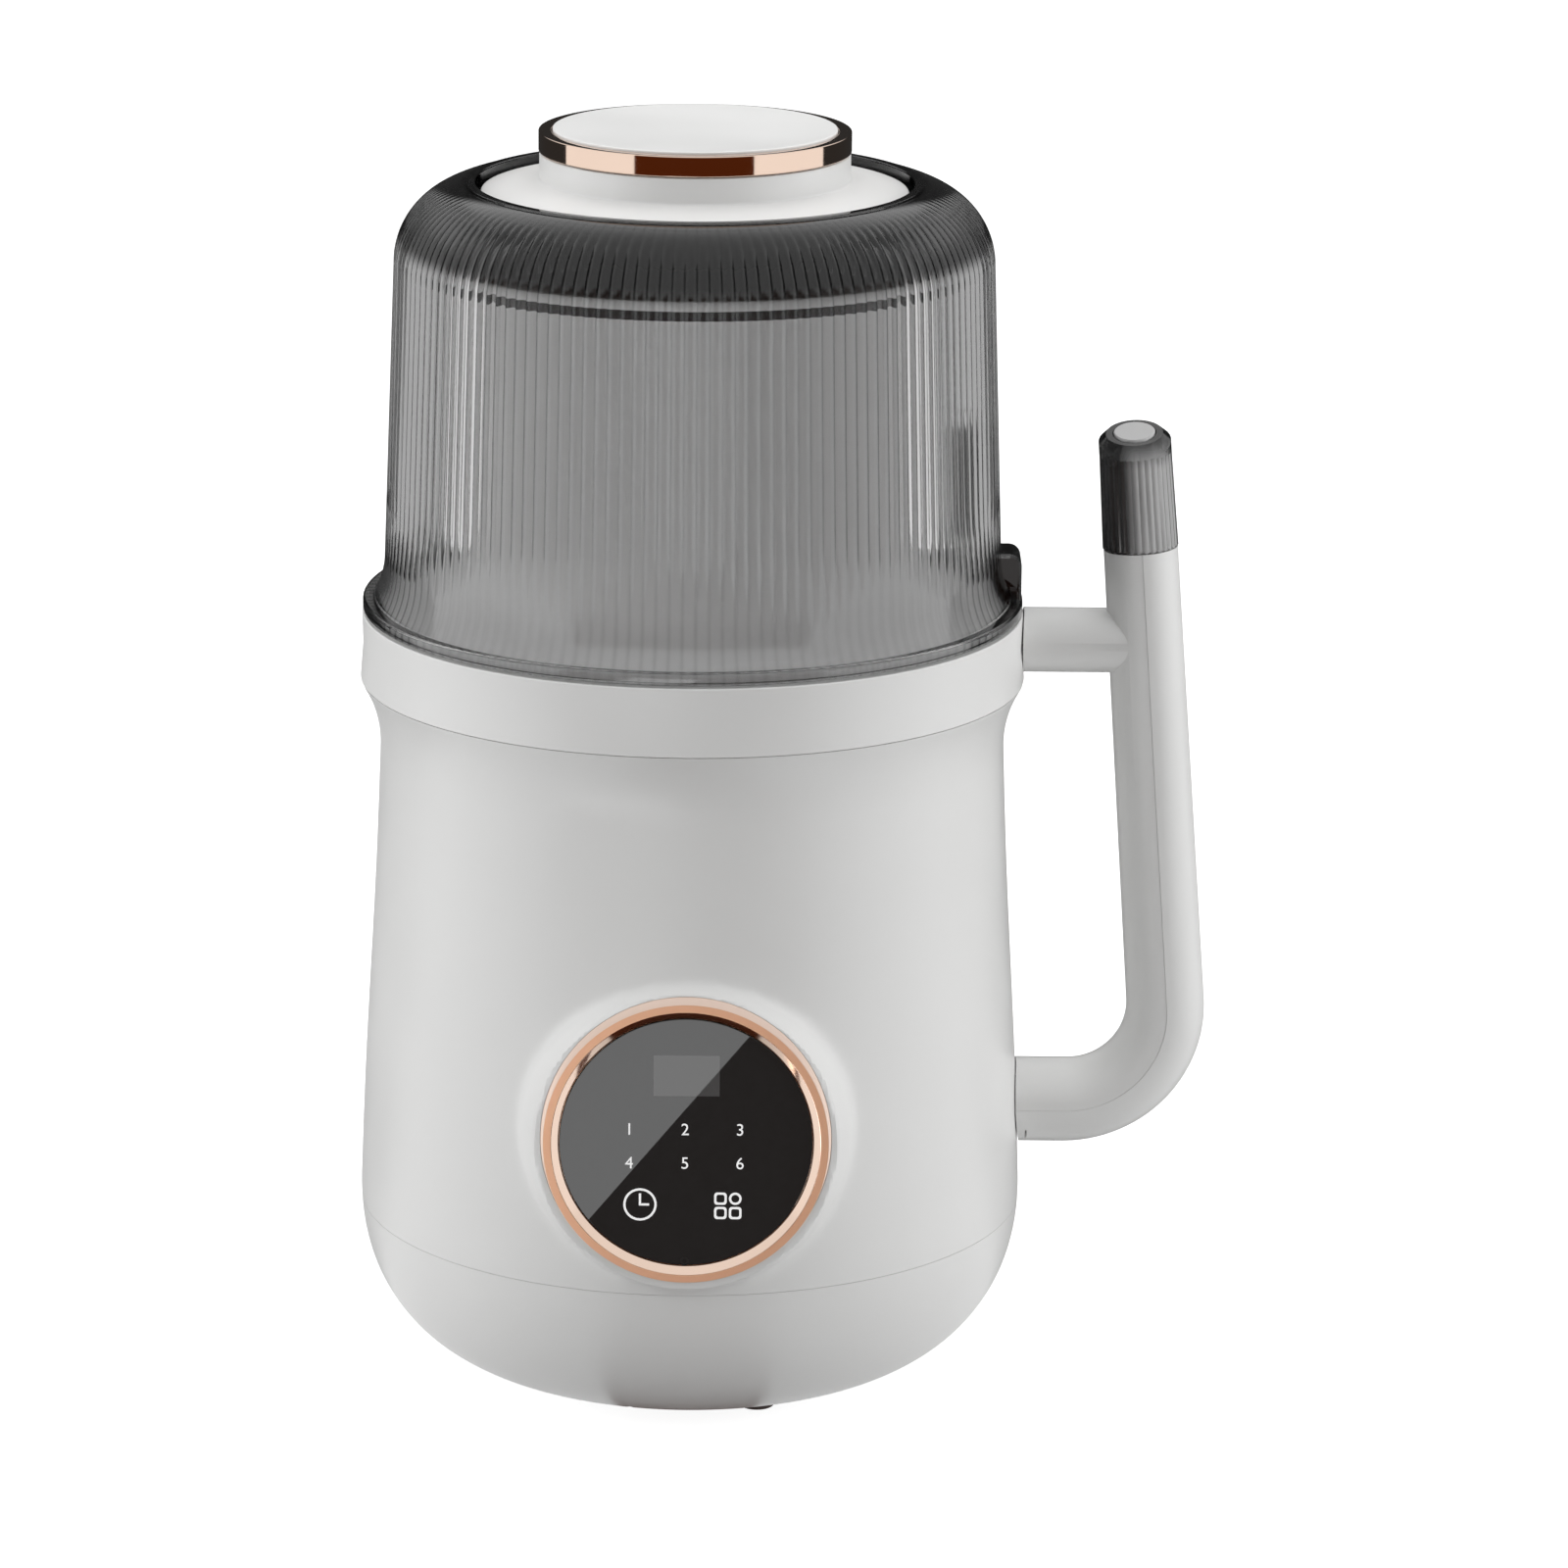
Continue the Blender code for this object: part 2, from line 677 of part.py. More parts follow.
def make_base_pan():
    seam = SEAM_Z - GAP
    outer = pan_outline(0.0, UNDERSIDE_Z, seam, BELLY_ROWS)
    inner = pan_outline(WALL, PAN_FLOOR_Z, SEAM_Z, PAN_ROWS)[::-1]
    tongue_r = belly_radius(seam) - WALL - GAP
    inner = [point for point in inner if point[1] < seam - WALL]
    outline = [(0.0, PAN_FLOOR_Z)] + inner
    outline += [(tongue_r - TONGUE_T, seam), (tongue_r - TONGUE_T, seam + TONGUE_H)]
    outline += [(tongue_r, seam + TONGUE_H), (tongue_r, seam)] + outer
    outline += [(PAD_R, UNDERSIDE_Z), (PAD_R, 0.0), (0.0, 0.0)]
    pan = turned("base_pan", outline, BODY_STEPS)
    boss_in = BEARING_R + GAP
    boss_out = boss_in + BEARING_BOSS_W
    boss_low = PAN_FLOOR_Z - WALL / 2
    join(pan, ring("bearing_boss", boss_out, boss_in, boss_low, PAN_FLOOR_Z + BEARING_H, SMALL_STEPS))
    for i in range(FOOT_COUNT):
        x, y = spot(FOOT_RING_R, FOOT_TURN + i * 2 * math.pi / FOOT_COUNT)
        seat_z = UNDERSIDE_Z + FOOT_SINK
        cut(pan, disc(f"foot_pocket_{i}", FOOT_R + GAP, -OVERRUN, seat_z, SMALL_STEPS, upright(x, y)))
    for i, (x, y) in enumerate(screw_spots()):
        head_z = UNDERSIDE_Z + SCREW_SINK
        bore = [(0.0, PAN_FLOOR_Z + OVERRUN), (SCREW_R + GAP, PAN_FLOOR_Z + OVERRUN)]
        bore += [(SCREW_R + GAP, head_z), (SCREW_HEAD_R + GAP, head_z)]
        bore += [(SCREW_HEAD_R + GAP, -OVERRUN), (0.0, -OVERRUN)]
        cut(pan, turned(f"screw_bore_{i}", bore, TINY_STEPS, place=upright(x, y)))
    cut_vents(pan)
    return as_part(pan, "white_shell")


def cut_vents(pan):
    """Radial slots in the curved underside, one group between each pair of feet."""
    middle_r = VENT_IN_R + VENT_L / 2
    low = -OVERRUN
    high = pan_floor(VENT_IN_R + VENT_L) + OVERRUN
    outline = [(-VENT_W / 2, -VENT_L / 2), (VENT_W / 2, -VENT_L / 2)]
    outline += [(VENT_W / 2, VENT_L / 2), (-VENT_W / 2, VENT_L / 2)]
    for side in range(FOOT_COUNT):
        for i in range(VENTS_PER_SIDE):
            step = (i - (VENTS_PER_SIDE - 1) / 2) * VENT_STEP
            angle = FOOT_TURN + (side + 0.5) * 2 * math.pi / FOOT_COUNT + step
            x, y = spot(middle_r, angle)
            cut(pan, plate(f"vent_{side}_{i}", outline, low, high, upright(x, y, angle)))


def make_feet():
    for i in range(FOOT_COUNT):
        x, y = spot(FOOT_RING_R, FOOT_TURN + i * 2 * math.pi / FOOT_COUNT)
        top = UNDERSIDE_Z + FOOT_SINK - GAP
        edge = FOOT_DROP / 4
        outline = [(0.0, top), (FOOT_R, top), (FOOT_R, edge - FOOT_DROP)]
        outline += [(FOOT_R - edge, -FOOT_DROP), (0.0, -FOOT_DROP)]
        foot = turned(f"foot_{i + 1}", outline, SMALL_STEPS, place=upright(x, y))
        as_part(foot, "foot_brown")


def screw_solid(name, length, place):
    """Pan-head screw whose shank points up its frame's Z from the head's seat."""
    outline = [(0.0, length), (SCREW_R, length), (SCREW_R, 0.0), (SCREW_HEAD_R, 0.0)]
    outline += [(SCREW_HEAD_R * SCREW_CROWN_SHARE, -SCREW_HEAD_T), (0.0, -SCREW_HEAD_T)]
    screw = turned(name, outline, TINY_STEPS, place=place)
    return as_part(screw, "steel_dark")


def make_base_screws():
    for i, (x, y) in enumerate(screw_spots()):
        seat = UNDERSIDE_Z + SCREW_SINK - GAP
        screw_solid(f"base_screw_{i + 1}", BASE_SCREW_L, upright(x, y) @ Matrix.Translation((0.0, 0.0, seat)))


# Body shell with the panel's boss

def boss_outline():
    """The boss that carries the panel, flaring back into the body."""
    lip_r = PANEL_R + GAP + BOSS_LIP_W
    rounded = arc(lip_r - BOSS_ROUND, -BOSS_ROUND, BOSS_ROUND, math.pi / 2, 0.0, 2)
    return [(0.0, 0.0)] + rounded + [(lip_r + BOSS_FLARE_W, -BOSS_DEPTH), (0.0, -BOSS_DEPTH)]


def make_body_shell():
    side = [(body_radius(z), z) for z in shell_heights()]
    outline = [(0.0, SHELL_TOP_Z)] + side + [(0.0, SEAM_Z)]
    shell = turned("body_shell", outline, BODY_STEPS)
    join(shell, turned("panel_boss", boss_outline(), RING_STEPS, place=panel_frame()))
    lip_r = body_radius(SHELL_TOP_Z) - WALL - SHELL_LIP_W
    lip_z = SHELL_TOP_Z - SHELL_LIP_T
    hollow = [(0.0, SHELL_TOP_Z + OVERRUN), (lip_r, SHELL_TOP_Z + OVERRUN), (lip_r, lip_z)]
    heights = (lip_z, WAIST_Z, CHASSIS_TOP_Z, BELLY_Z, SEAM_Z)
    hollow += [(body_radius(z) - WALL, z) for z in heights]
    hollow += [(hollow[-1][0], SEAM_Z - OVERRUN), (0.0, SEAM_Z - OVERRUN)]
    cut(shell, turned("body_hollow", hollow, BODY_STEPS))
    seat_r = PANEL_R + GAP
    board_r = PANEL_R - BAND_W - BOARD_SHOULDER
    bore = [(0.0, OVERRUN), (seat_r, OVERRUN), (seat_r, RING_BACK - GAP), (board_r, RING_BACK - GAP)]
    bore += [(board_r, -BOSS_DEPTH - OVERRUN), (0.0, -BOSS_DEPTH - OVERRUN)]
    cut(shell, turned("panel_bore", bore, RING_STEPS, place=panel_frame() @ half_facet(BODY_STEPS)))
    opening = rounded_box(INLET_W + GAP + GAP, INLET_H + GAP + GAP, INLET_CORNER)
    cut(shell, plate("inlet_opening", opening, -INLET_DEPTH, INLET_DEPTH, facing_y(0.0, BELLY_R, INLET_Z)))
    hole = along_x(body_radius(ARM_Z) - WALL - OVERRUN, 0.0, ARM_Z + ARM_SCREW_RISE)
    cut(shell, disc("arm_screw_hole", SCREW_R + GAP, 0.0, WALL + OVERRUN + OVERRUN, TINY_STEPS, hole))
    return as_part(shell, "white_shell")


def make_collar_ring():
    bottom_r = body_radius(SHELL_TOP_Z)
    foot_in = bottom_r - COLLAR_FOOT_W
    foot_top = COLLAR_Z + COLLAR_FOOT_T
    ledge_low = LEDGE_Z - LEDGE_T
    edge = COLLAR_WALL / 6
    outline = [(COLLAR_IN_R, COLLAR_TOP_Z), (COLLAR_TOP_R - edge, COLLAR_TOP_Z)]
    outline += [(COLLAR_TOP_R, COLLAR_TOP_Z - edge), (COLLAR_TOP_R - edge / 2, COLLAR_Z + COLLAR_H / 2)]
    outline += [(bottom_r - edge / 2, COLLAR_Z), (foot_in, COLLAR_Z)]
    outline += [(foot_in, foot_top), (COLLAR_IN_R, foot_top), (COLLAR_IN_R, ledge_low)]
    outline += [(LEDGE_IN_R, ledge_low), (LEDGE_IN_R, LEDGE_Z), (COLLAR_IN_R, LEDGE_Z)]
    collar = turned("collar_ring", outline, BODY_STEPS, closed=True)
    hole = along_x(COLLAR_IN_R - OVERRUN, 0.0, CROSSBAR_Z - BAR_SCREW_DROP)
    length = COLLAR_WALL + OVERRUN + OVERRUN
    cut(collar, disc("bar_screw_hole", SCREW_R + GAP, 0.0, length, TINY_STEPS, hole))
    return as_part(collar, "white_shell")


# Jug, heater and their seals

def cup_outline(inset, floor_z, hole_r):
    """One side of the jug's wall, from its rim's root down to the floor's hole."""
    corner_r = CUP_CORNER_R - inset
    centre_r = CUP_FLOOR_R - CUP_CORNER_R
    centre_z = CUP_FLOOR_Z + CUP_CORNER_R
    corner = arc(centre_r, centre_z, corner_r, 0.0, -math.pi / 2, 3)
    return [(CUP_TOP_R - inset, CUP_RIM_Z)] + corner + [(hole_r, floor_z)]


def make_inner_cup():
    outer = cup_outline(0.0, CUP_FLOOR_Z, CUP_HOLE_R)
    inner = cup_outline(CUP_WALL, CUP_INSIDE_Z, CUP_HOLE_R)[::-1]
    inner[-1] = (CUP_TOP_R - CUP_WALL, CUP_RIM_TOP_Z)
    rim = [(CUP_RIM_R, CUP_RIM_TOP_Z), (CUP_RIM_R, CUP_RIM_Z)]
    cup = turned("inner_cup", rim + outer + inner, RING_STEPS, closed=True)
    return as_part(cup, "stainless")


def make_cup_fittings():
    gasket_r = COLLAR_IN_R - GAP
    low = LEDGE_Z + GAP
    gasket = ring("cup_gasket", gasket_r, gasket_r - CUP_GASKET_W, low, low + CUP_GASKET_T, RING_STEPS)
    as_part(gasket, "silicone_black")
    heater_z = CUP_FLOOR_Z - GAP
    heater = ring("heater_ring", HEATER_R, HEATER_R - HEATER_W, heater_z - HEATER_T, heater_z, RING_STEPS)
    as_part(heater, "steel_dark")
    thermo_z = heater_z - HEATER_T - GAP
    where = upright(GAP - (HEATER_R - HEATER_W / 2), 0.0)
    sensor = disc("thermostat", THERMOSTAT_R, thermo_z - THERMOSTAT_H, thermo_z, SMALL_STEPS, where)
    as_part(sensor, "dark_moulding")
    sleeve_r = CUP_HOLE_R - GAP
    flange_z = CUP_INSIDE_Z + GAP
    outline = [(SEAL_FLANGE_R, flange_z + SEAL_FLANGE_T), (SEAL_FLANGE_R, flange_z)]
    outline += [(sleeve_r, flange_z), (sleeve_r, CUP_FLOOR_Z - SEAL_SKIRT)]
    outline += [(BORE_R, CUP_FLOOR_Z - SEAL_SKIRT), (BORE_R, flange_z + SEAL_FLANGE_T)]
    as_part(turned("shaft_seal", outline, SMALL_STEPS, closed=True), "silicone_black")


# Motor, its mounting and the drive

def make_chassis():
    """Plate that hangs the motor and stands on four pillars over the base screws."""
    plate_r = body_radius(CHASSIS_TOP_Z) - WALL - GAP
    chassis = ring("motor_chassis", plate_r, CHASSIS_HOLE_R, CHASSIS_Z, CHASSIS_TOP_Z, BODY_STEPS)
    foot_z = pan_floor(FOOT_RING_R + PILLAR_R) + GAP
    bore_r = SCREW_R + GAP
    for i, (x, y) in enumerate(screw_spots()):
        where = upright(x, y)
        join(chassis, disc(f"pillar_{i}", PILLAR_R, foot_z, CHASSIS_Z + CHASSIS_T / 2, TINY_STEPS, where))
        bore_top = foot_z + BASE_SCREW_L
        cut(chassis, disc(f"pillar_bore_{i}", bore_r, foot_z - OVERRUN, bore_top, TINY_STEPS, where))
    room_r = PANEL_R + GAP
    notch = disc("board_room", room_r, -BOSS_DEPTH - OVERRUN, 0.0, SMALL_STEPS, panel_frame())
    cut(chassis, notch)
    return as_part(chassis, "dark_moulding")


def make_motor():
    bore_r = ROTOR_R + AIR_GAP
    turn = FOOT_TURN + math.pi / FOOT_COUNT
    outline = rounded_box(STATOR_W, STATOR_W, STATOR_CORNER)
    stator = plate("motor_stator", outline, STATOR_Z, STATOR_Z + STATOR_H, upright(0.0, 0.0, turn))
    top = STATOR_Z + STATOR_H + OVERRUN
    cut(stator, disc("stator_bore", bore_r, STATOR_Z - OVERRUN, top, SMALL_STEPS))
    as_part(stator, "steel_dark")
    low = STATOR_Z - ROTOR_PROUD
    high = STATOR_Z + STATOR_H + ROTOR_PROUD
    as_part(ring("motor_rotor", ROTOR_R, BORE_R, low, high, SMALL_STEPS), "steel_dark")
    neck_r = BEARING_R + GAP + BEARING_BOSS_W
    seat_z = BRACKET_TOP_Z - BEARING_H - GAP
    bore_r = BORE_R + BRACKET_BORE_EXTRA
    outline = [(BEARING_R + GAP, BRACKET_TOP_Z), (neck_r, BRACKET_TOP_Z), (neck_r, BRACKET_Z + BRACKET_T)]
    outline += [(BRACKET_R, BRACKET_Z + BRACKET_T), (BRACKET_R, BRACKET_Z), (bore_r, BRACKET_Z)]
    outline += [(bore_r, seat_z), (BEARING_R + GAP, seat_z)]
    as_part(turned("bearing_bracket", outline, SMALL_STEPS, closed=True), "dark_moulding")
    upper_z = seat_z + GAP
    as_part(ring("upper_bearing", BEARING_R, BORE_R, upper_z, upper_z + BEARING_H, SMALL_STEPS), "stainless")
    lower_z = PAN_FLOOR_Z + GAP
    as_part(ring("lower_bearing", BEARING_R, BORE_R, lower_z, lower_z + BEARING_H, SMALL_STEPS), "stainless")
    shaft = disc("drive_shaft", SHAFT_R, PAN_FLOOR_Z + GAP, SHAFT_TOP_Z, TINY_STEPS)
    as_part(shaft, "stainless")


def fan_outline():
    """A hub with straight vanes, as one closed outline."""
    points = []
    half = FAN_VANE_W / 2
    for i in range(FAN_VANES):
        turn = 2 * math.pi * i / FAN_VANES
        for radius, side in ((FAN_HUB_R, -half), (FAN_R, -half), (FAN_R, half), (FAN_HUB_R, half)):
            x = radius * math.cos(turn) - side * math.sin(turn)
            y = radius * math.sin(turn) + side * math.cos(turn)
            points.append((x, y))
    return points


def make_cooling_fan():
    fan = plate("cooling_fan", fan_outline(), FAN_Z, FAN_Z + FAN_H)
    cut(fan, disc("fan_bore", BORE_R, FAN_Z - OVERRUN, FAN_Z + FAN_H + OVERRUN, TINY_STEPS))
    return as_part(fan, "dark_moulding")


def blade(name, centre_z, rise, turn):
    """A stamped two-armed blade: a flat middle, then arms that bend to their tips."""
    knee = BLADE_L * BLADE_KNEE_SHARE
    stations = [(-BLADE_L, BLADE_TIP_W, rise), (-knee, BLADE_ROOT_W, 0.0)]
    stations += [(knee, BLADE_ROOT_W, 0.0), (BLADE_L, BLADE_TIP_W, rise)]
    bm = bmesh.new()
    rows = []
    for x, width, height in stations:
        sweep = (BLADE_ROOT_W - width) / 2 * (1 if x > 0 else -1)
        low = bm.verts.new((x, sweep - width / 2, height))
        high = bm.verts.new((x, sweep + width / 2, height))
        rows.append((low, high))
    for (low_a, high_a), (low_b, high_b) in zip(rows, rows[1:]):
        bm.faces.new((low_a, low_b, high_b, high_a))
    arms = object_from(name, bm, Matrix.Translation((0.0, 0.0, centre_z)) @ Matrix.Rotation(turn, 4, "Z"))
    thick = arms.modifiers.new("sheet", "SOLIDIFY")
    thick.thickness = BLADE_T
    thick.offset = 0.0
    cut(arms, disc(name + "_bore", BORE_R, centre_z - BLADE_T, centre_z + BLADE_T, TINY_STEPS))
    return as_part(arms, "stainless")


def make_blade_set():
    hub = ring("blade_hub", HUB_R, BORE_R, BLADE_HUB_Z, BLADE_HUB_Z + HUB_H, SMALL_STEPS)
    as_part(hub, "stainless")
    blade("lower_blade", LOWER_BLADE_Z + BLADE_T / 2, -LOWER_DROP, math.pi / 2)
    blade("upper_blade", UPPER_BLADE_Z + BLADE_T / 2, UPPER_RISE, 0.0)
    top = NUT_Z + NUT_H
    edge = NUT_H / 6
    outline = [(0.0, top), (NUT_R - edge, top), (NUT_R, top - edge), (NUT_R, NUT_Z), (0.0, NUT_Z)]
    nut = turned("blade_nut", outline, NUT_SIDES)
    cut(nut, disc("nut_bore", BORE_R, NUT_Z - OVERRUN, SHAFT_TOP_Z + GAP, TINY_STEPS))
    as_part(nut, "stainless")


# Electronics and inlet

def make_boards():
    low = CHASSIS_TOP_Z + GAP
    top = low + BOARD_T
    centre = (0.0, POWER_BOARD_Y, low + BOARD_T / 2)
    board = block("power_board", (POWER_BOARD_W, POWER_BOARD_D, BOARD_T), centre)
    relay_z = top + (RELAY_H - BOARD_T) / 2
    relay = block("relay", (RELAY_W, RELAY_W, RELAY_H), (RELAY_OFFSET, POWER_BOARD_Y, relay_z))
    join(board, relay)
    where = upright(-RELAY_OFFSET, POWER_BOARD_Y)
    join(board, disc("capacitor", CAPACITOR_R, low + BOARD_T / 2, top + CAPACITOR_H, TINY_STEPS, where))
    as_part(board, "board_green")
    front = RING_BACK - GAP
    board_r = PANEL_R - BAND_W - BOARD_SHOULDER - GAP
    display = disc("display_board", board_r, front - BOARD_T, front, RING_STEPS, panel_frame())
    glass_back = BAND_PROUD - BEVEL_H - GLASS_T
    height = glass_back - GAP - front + BOARD_T / 2
    centre = (0.0, DISPLAY_RISE, glass_back - GAP - height / 2)
    join(display, block("display_module", (DISPLAY_W, DISPLAY_H, height), centre, panel_frame()))
    as_part(display, "board_green")
    outer_x = body_radius(SHELL_TOP_Z) - COLLAR_FOOT_W + SENSOR_IN
    top = LEDGE_Z - LEDGE_T - GAP
    centre = (outer_x - SENSOR_D / 2, SENSOR_Y, top - SENSOR_H / 2)
    as_part(block("hood_sensor", (SENSOR_D, SENSOR_W, SENSOR_H), centre), "dark_moulding")


def make_inlet():
    """Appliance inlet: a housing flush in the back, its recess, and three pins."""
    face_y = body_radius(INLET_Z) + INLET_PROUD
    place = facing_y(0.0, face_y, INLET_Z)
    housing = plate("power_inlet", rounded_box(INLET_W, INLET_H, INLET_CORNER), 0.0, INLET_DEPTH, place)
    inside_w = INLET_W - INLET_WALL - INLET_WALL
    inside_h = INLET_H - INLET_WALL - INLET_WALL
    recess = rounded_box(inside_w, inside_h, INLET_CORNER - INLET_WALL / 2)
    cut(housing, plate("inlet_recess", recess, -OVERRUN, INLET_RECESS, place))
    as_part(housing, "dark_moulding")
    floor = INLET_RECESS - GAP
    insert = rounded_box(inside_w - GAP - GAP, inside_h - GAP - GAP, INLET_CORNER - INLET_WALL / 2)
    pins = plate("inlet_pins", insert, floor - INSERT_T, floor, place)
    start = floor - INSERT_T / 2
    for i, (x, y) in enumerate(((-PIN_SPREAD, -PIN_RISE), (PIN_SPREAD, -PIN_RISE), (0.0, PIN_RISE))):
        size = (PIN_T, PIN_W, PIN_L)
        join(pins, block(f"pin_{i}", size, (x, y, start - PIN_L / 2), place))
    as_part(pins, "stainless")


# Control panel

def make_panel():
    front = BAND_PROUD
    inner_r = PANEL_R - BAND_W
    glass_r = inner_r - BEVEL_W
    step = BAND_PROUD - BEVEL_H
    ledge_top = step - GLASS_T - GAP
    ledge_r = glass_r - RING_LEDGE_W
    outline = [(inner_r, front), (PANEL_R - RING_EDGE, front), (PANEL_R, front - RING_EDGE)]
    outline += [(PANEL_R, RING_BACK), (ledge_r, RING_BACK), (ledge_r, ledge_top)]
    outline += [(glass_r, ledge_top), (glass_r, step)]
    as_part(turned("panel_ring", outline, RING_STEPS, closed=True, place=panel_frame()), "rose_gold")
    glass = disc("panel_glass", GLASS_R, step - GLASS_T, step, RING_STEPS, panel_frame())
    as_part(glass, "panel_black")


# Hood

def flute_strength(radius, height):
    """How deep a groove is at a point of the hood: it fades in low and out on the shoulder."""
    if height <= SHOULDER_Z:
        return min(max((height - HOOD_FOOT_Z) / FLUTE_FADE_H, 0.0), 1.0)
    turn = math.atan2(height - SHOULDER_Z, radius - (SHOULDER_R - SHOULDER_ARC))
    return max(1.0 - turn / FLUTE_END, 0.0)


def press_grooves(thing, count, depth, strength):
    """Press every second column of a turned mesh inwards, which leaves ribs."""
    thing = solidified(thing)
    half_pitch = math.pi / count
    for vertex in thing.data.vertices:
        x, y, z = vertex.co
        radius = math.hypot(x, y)
        column = round(math.atan2(y, x) / half_pitch)
        if column % 2 == 0 or radius < depth:
            continue
        shrink = (radius - depth * strength(radius, z)) / radius
        vertex.co = (x * shrink, y * shrink, z)
    return thing


def hood_side(inset):
    """The hood's side from the end of the flutes, on the shoulder, down to its foot."""
    rounded = arc(SHOULDER_R - SHOULDER_ARC, SHOULDER_Z, SHOULDER_ARC - inset, FLUTE_END, 0.0, 2)
    return rounded + [(HOOD_FOOT_R - inset, HOOD_FOOT_Z)]


def hood_crown(inset):
    """Where the shoulder runs level, inside the flutes' ends."""
    return arc(SHOULDER_R - SHOULDER_ARC, SHOULDER_Z, SHOULDER_ARC - inset, SHOULDER_STOP, FLUTE_END, 1)


def hood_flare(count=2):
    """Concave sweep from the hood's foot out onto the flange."""
    drop = HOOD_FOOT_Z - HOOD_FLANGE_Z
    out = HOOD_FLANGE_R - HOOD_FLANGE_W - HOOD_FOOT_R
    radius = (drop ** 2 + out ** 2) / (2 * out)
    points = []
    for i in range(1, count + 1):
        fall = drop * i / count
        reach = radius - math.sqrt(radius ** 2 - fall ** 2)
        points.append((HOOD_FOOT_R + FLARE_PROUD + reach, HOOD_FOOT_Z - fall))
    return points


def make_hood_shell():
    side = hood_side(0.0)[:-1]
    slope = (HOOD_FOOT_R - SHOULDER_R) / (SHOULDER_Z - HOOD_FOOT_Z)
    for z in (HOOD_FOOT_Z + FLUTE_FADE_H, HOOD_FLANGE_Z - HOOD_FLANGE_T / 2):
        side.append((SHOULDER_R + slope * (SHOULDER_Z - z), z))
    outline = [(0.0, side[0][1])] + side + [(0.0, side[-1][1])]
    drum = turned("hood_shell", outline, FLUTE_COUNT * 2)
    drum = press_grooves(drum, FLUTE_COUNT, FLUTE_DEPTH, flute_strength)
    crown = hood_crown(FLARE_PROUD)
    foot = [(crown[-1][0], crown[-1][1] - HOOD_WALL / 2), (0.0, crown[-1][1] - HOOD_WALL / 2)]
    between = half_facet(FLUTE_COUNT * 2)
    join(drum, turned("hood_crown", [(0.0, crown[0][1])] + crown + foot, BODY_STEPS, place=between))
    edge = HOOD_FLANGE_T / 6
    flange = [(0.0, HOOD_FOOT_Z), (HOOD_FOOT_R + FLARE_PROUD, HOOD_FOOT_Z)] + hood_flare()
    flange += [(HOOD_FLANGE_R - edge, HOOD_FLANGE_Z), (HOOD_FLANGE_R, HOOD_FLANGE_Z - edge)]
    flange += [(HOOD_FLANGE_R, HOOD_Z), (0.0, HOOD_Z)]
    join(drum, turned("hood_flange", flange, BODY_STEPS, place=between))
    join(drum, hood_lug())
    pocket_d = MAGNET_D + GAP + GAP
    pocket = (pocket_d, MAGNET_W + GAP + GAP, MAGNET_H + GAP + OVERRUN)
    centre_z = HOOD_Z + GAP + MAGNET_H + GAP - pocket[2] / 2
    cut(drum, block("magnet_pocket", pocket, (LUG_REACH - MAGNET_IN, 0.0, centre_z)))
    inner = hood_crown(HOOD_WALL)[:1] + hood_side(HOOD_WALL)
    mouth_r = LIP_IN_R + LIP_W / 2
    hollow = [(0.0, HOOD_TOP_Z + OVERRUN), (mouth_r, HOOD_TOP_Z + OVERRUN), (mouth_r, inner[0][1])]
    hollow += inner + [(inner[-1][0], REBATE_Z), (REBATE_R, REBATE_Z)]
    hollow += [(REBATE_R, HOOD_Z - OVERRUN), (0.0, HOOD_Z - OVERRUN)]
    cut(drum, turned("hood_hollow", hollow, BODY_STEPS, place=half_facet(RING_STEPS)))
    join(drum, hood_mouth())
    return as_part(drum, "smoked_clear")


def hood_lug():
    """Upright lug on the flange beside the handle, with its outer top corner rounded."""
    inner_x = LUG_REACH - LUG_ROOT
    top = HOOD_Z + LUG_H
    low = HOOD_FLANGE_Z - HOOD_FLANGE_T / 2
    corner = arc(LUG_REACH - LUG_ROUND, top - LUG_ROUND, LUG_ROUND, 0.0, math.pi / 2, 4)
    outline = [(inner_x, low), (LUG_REACH, low)] + corner + [(inner_x, top)]
    return plate("hood_lug", outline, -LUG_W / 2, LUG_W / 2, Matrix.Rotation(math.pi / 2, 4, "X"))


def hood_mouth():
    """Raised lip round the hood's opening, with the ledge that the lid rests on."""
    top = HOOD_TOP_Z + LIP_RISE
    edge = LIP_W / 4
    ledge_low = LID_LEDGE_Z - LID_LEDGE_T
    outline = [(LIP_IN_R, top), (LIP_R - edge, top), (LIP_R, top - edge), (LIP_R, ledge_low)]
    outline += [(LID_LEDGE_R, ledge_low), (LID_LEDGE_R, LID_LEDGE_Z), (LIP_IN_R, LID_LEDGE_Z)]
    return turned("hood_mouth", outline, BODY_STEPS, closed=True)


